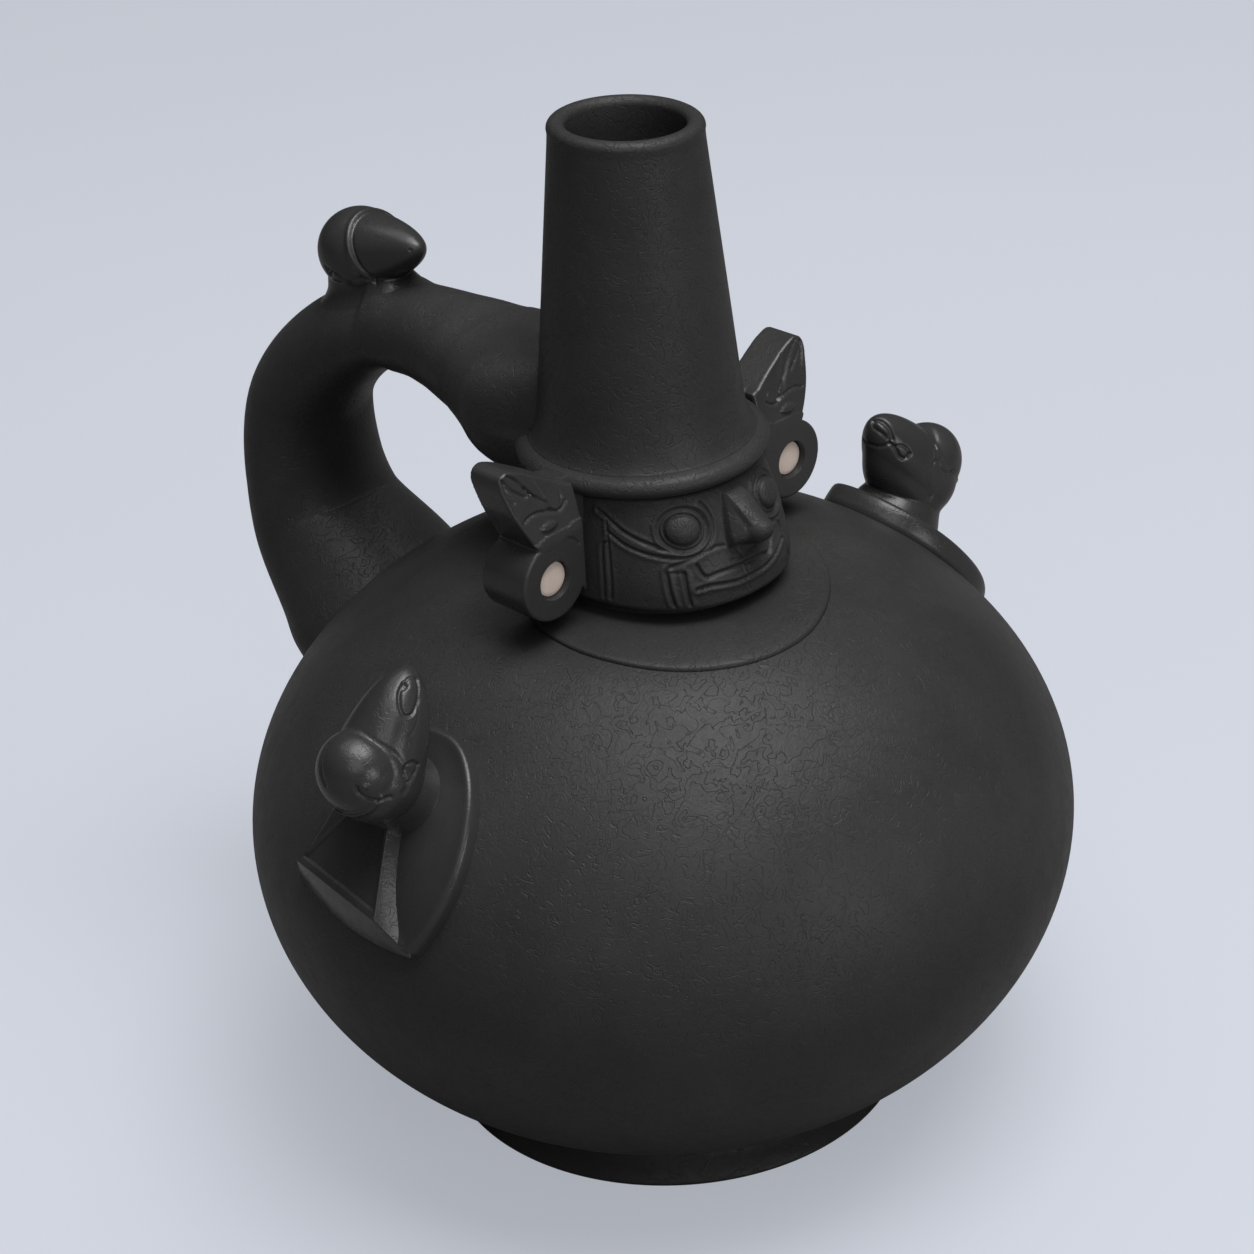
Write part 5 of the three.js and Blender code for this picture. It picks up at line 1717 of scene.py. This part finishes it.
# The neck: its radius, the radius at its foot and top, the height of the flare and how deep it
# is sunk in the plaque
NECK_RADIUS, NECK_FOOT, NECK_FLARE, NECK_SINK = 7.2, 7.6, 1.8, 1.0
# The muzzle: radius at its root, how much it narrows, and the length of its rounded back
MUZZLE_ROOT, MUZZLE_TAPER, MUZZLE_BACK = 8.6, 0.15, 8.2


def into_figure(seat, flip):
    """Gives a function from places to the figure's own directions: flip -1 is the left figure"""
    def local(points):
        rel = points * np.array([flip, 1, 1]) - seat.origin
        return np.stack([rel @ seat.forward, rel @ seat.up, rel @ seat.out], axis=1)
    return local


def out_of_figure(seat, flip):
    """Gives the function back from the figure's own directions"""
    def place(local):
        return in_figure(seat, *local.T) * np.array([flip, 1, 1])
    return place


def turned_on_globe(piece, s):
    """Turns a piece of the right figure a little aside and up round the globe's middle"""
    points = from_frame(coordinates(piece)) - np.array([0, 0, s.equator_height])
    aside, up = FIGURE_TURN
    x, y, z = points.T
    x, y = x * math.cos(aside) - y * math.sin(aside), x * math.sin(aside) + y * math.cos(aside)
    x, z = x * math.cos(up) - z * math.sin(up), x * math.sin(up) + z * math.cos(up)
    set_coordinates(piece, to_frame(np.stack([x, y, z + s.equator_height], axis=1)))


def shift(piece, by):
    """Moves a piece by a step in millimetres"""
    set_coordinates(piece, to_frame(from_frame(coordinates(piece)) + by))


def spread_foot(piece, seat, middle, thickness):
    """Spreads the foot of the right figure's neck over its plaque"""
    local = into_figure(seat, 1)(from_frame(coordinates(piece)))
    weight = 1 - smooth_step(local[:, 2], thickness - 0.5, thickness + 6.5)
    local[:, 0] *= 1 + FOOT_SPREAD * weight
    local[:, 1] = middle + (local[:, 1] - middle) * (1 + FOOT_SPREAD * weight)
    set_coordinates(piece, to_frame(out_of_figure(seat, 1)(local)))


class BOTTLE_OT_figures(bpy.types.Operator):
    """Models the crested figure on its plaque and mirrors it to the other side"""

    bl_idname = "bottle.figures"
    bl_label = "Side figures"

    def execute(self, context):
        s = millimetres(context.scene.bottle_sizes)
        seat = figure_frame(s)
        plaque = shaped_ball(
            "right_plaque", PLAQUE_SEGMENTS, len(PLAQUE_ROWS) - 1, plaque_place(seat, s),
        )
        tail = tail_piece("right_tail", seat)
        centre = in_figure(seat, 0, HEAD_UP, BALL_LIFT)[0]
        ball = turned_parts(
            "figure_ball", centre - seat.out * BALL_INWARD, centre + seat.out * s.ball_radius,
            ball_stations(s.ball_radius),
        )
        root = in_figure(seat, 0, HEAD_UP, MUZZLE_LIFT - 2)[0]
        tip = in_figure(seat, 0, s.muzzle_length, MUZZLE_LIFT + 1)[0]
        span = np.linalg.norm(tip - root)
        back = (tip - root) / span * MUZZLE_BACK
        muzzle = turned_parts(
            "figure_muzzle", root - back, tip,
            snout_stations(MUZZLE_ROOT, MUZZLE_TAPER, MUZZLE_BACK / (span + MUZZLE_BACK)),
        )
        rows = neck_rows(
            NECK_RADIUS, NECK_FOOT, NECK_FLARE,
            BALL_LIFT - s.plaque_thickness, NECK_FOOT, NECK_SINK,
        )

        def place(ring, turn):
            forward = rows[ring, 0] * np.cos(turn)
            up = HEAD_UP - NECK_DOWN + rows[ring, 0] * np.sin(turn)
            ground = on_globe(seat, forward, up, s.plaque_thickness, s)
            return ground + seat.out * rows[ring, 1][:, None]

        neck = shaped_ball("figure_neck", NECK_SEGMENTS, len(rows) - 1, place)
        head = fused("right_head", [ball, muzzle, neck], HEAD_CELL, smoothing=5)
        for piece, other_name, parts in (
            (plaque, "left_plaque", ["figure_plaque"]),
            (tail, "left_tail", ["figure_tail"]),
            (head, "left_head", ["figure_neck", "figure_ball", "figure_muzzle"]),
        ):
            other = mirror_copy(piece, other_name)
            material = clay(context, fine=True)
            dress(piece, material, "blackware", *("right_" + part for part in parts))
            dress(other, material, "blackware", *("left_" + part for part in parts))
        left_head, left_plaque = (bpy.data.objects["left_" + part] for part in ("head", "plaque"))
        shift(left_plaque, -seat.out * np.array([-1, 1, 1]) * LEFT_PLAQUE_SINK)
        carved(left_head, LEFT_MARKS, into_figure(seat, -1), out_of_figure(seat, -1))
        carved(head, RIGHT_MARKS, into_figure(seat, 1), out_of_figure(seat, 1))
        spread_foot(head, seat, HEAD_UP - NECK_DOWN, s.plaque_thickness)
        shift(plaque, seat.out * RIGHT_PLAQUE_RISE)
        for piece in (plaque, tail, head):
            turned_on_globe(piece, s)
        return {"FINISHED"}


def area_light(name, place, size, power):
    """A square lamp that looks at the middle of the bottle"""
    deselect()
    bpy.ops.object.light_add(type="AREA", location=place)
    lamp = bpy.context.object
    lamp.name = name
    lamp.data.shape = "RECTANGLE"
    lamp.data.size, lamp.data.size_y = size, size
    lamp.data.energy = power
    way = Vector(LIGHT_AIM) - Vector(place)
    lamp.rotation_euler = way.to_track_quat("-Z", "Y").to_euler()


# The studio's lights: place, size in metres, power in watts
LIGHTS = {
    "key": ((0.16, -0.68, 1.47), 0.8, 5.0),
    "high": ((0.1, -0.35, 1.6), 1.0, 18.0),
    "top": ((0.05, 0.1, 1.7), 1.6, 12.0),
    "left": ((-0.8, -0.9, 1.1), 0.9, 4.2),
    "low": ((-0.1, -1.3, 0.35), 0.5, 3.2),
}
LIGHT_AIM = (0, 0, 0.08)
WORLD_STRENGTH = 0.03
# Width of the floor in metres
FLOOR_SIZE = 8


class BOTTLE_OT_stage(bpy.types.Operator):
    """Lays the pale floor and sets the soft light and the camera"""

    bl_idname = "bottle.stage"
    bl_label = "Stage"

    def execute(self, context):
        looks = context.scene.bottle_looks
        deselect()
        bpy.ops.mesh.primitive_plane_add(size=FLOOR_SIZE, location=(0, 0, 0))
        floor = bpy.context.object
        floor.name = "floor"
        floor.data.materials.append(floor_material(looks))
        for name, (place, size, power) in LIGHTS.items():
            area_light(name, place, size, power)
        world = context.scene.world or bpy.data.worlds.new("studio")
        context.scene.world = world
        world.use_nodes = True
        background = world.node_tree.nodes.get("Background")
        background.inputs["Color"].default_value = (1.0, 1.0, 1.0, 1)
        background.inputs["Strength"].default_value = WORLD_STRENGTH
        deselect()
        bpy.ops.object.camera_add(
            location=CAMERA_PLACE, rotation=tuple(math.radians(turn) for turn in CAMERA_TURN),
        )
        camera = bpy.context.object
        camera.data.lens = CAMERA_LENS
        camera.data.sensor_width = CAMERA_SENSOR
        camera.data.clip_start = 0.01
        context.scene.camera = camera
        context.scene.view_settings.view_transform = "Standard"
        return {"FINISHED"}


class BOTTLE_PT_panel(bpy.types.Panel):
    """Lists the bottle's pieces in the sidebar"""

    bl_idname = "BOTTLE_PT_panel"
    bl_label = "Bottle"
    bl_space_type = "VIEW_3D"
    bl_region_type = "UI"
    bl_category = "Bottle"

    def draw(self, context):
        for operator in OPERATORS:
            self.layout.operator(operator.bl_idname)
        for group, holder in ((BottleSizes, "bottle_sizes"), (BottleLooks, "bottle_looks")):
            column = self.layout.column(align=True)
            for key in group.__annotations__:
                column.prop(getattr(context.scene, holder), key)


OPERATORS = (
    BOTTLE_OT_globe,
    BOTTLE_OT_foot,
    BOTTLE_OT_collar,
    BOTTLE_OT_face,
    BOTTLE_OT_spout,
    BOTTLE_OT_handle,
    BOTTLE_OT_bird,
    BOTTLE_OT_ears,
    BOTTLE_OT_inlays,
    BOTTLE_OT_figures,
    BOTTLE_OT_stage,
)
CLASSES = (BottleSizes, BottleLooks, *OPERATORS, BOTTLE_PT_panel)


def register():
    for cls in CLASSES:
        bpy.utils.register_class(cls)
    bpy.types.Scene.bottle_sizes = PointerProperty(type=BottleSizes)
    bpy.types.Scene.bottle_looks = PointerProperty(type=BottleLooks)


def unregister():
    del bpy.types.Scene.bottle_looks
    del bpy.types.Scene.bottle_sizes
    for cls in reversed(CLASSES):
        bpy.utils.unregister_class(cls)


def main():
    register()
    bpy.ops.bottle.globe()
    bpy.ops.bottle.foot()
    bpy.ops.bottle.collar()
    bpy.ops.bottle.face()
    bpy.ops.bottle.spout()
    bpy.ops.bottle.handle()
    bpy.ops.bottle.bird()
    bpy.ops.bottle.ears()
    bpy.ops.bottle.inlays()
    bpy.ops.bottle.figures()
    bpy.ops.bottle.stage()


if __name__ == "__main__":
    main()
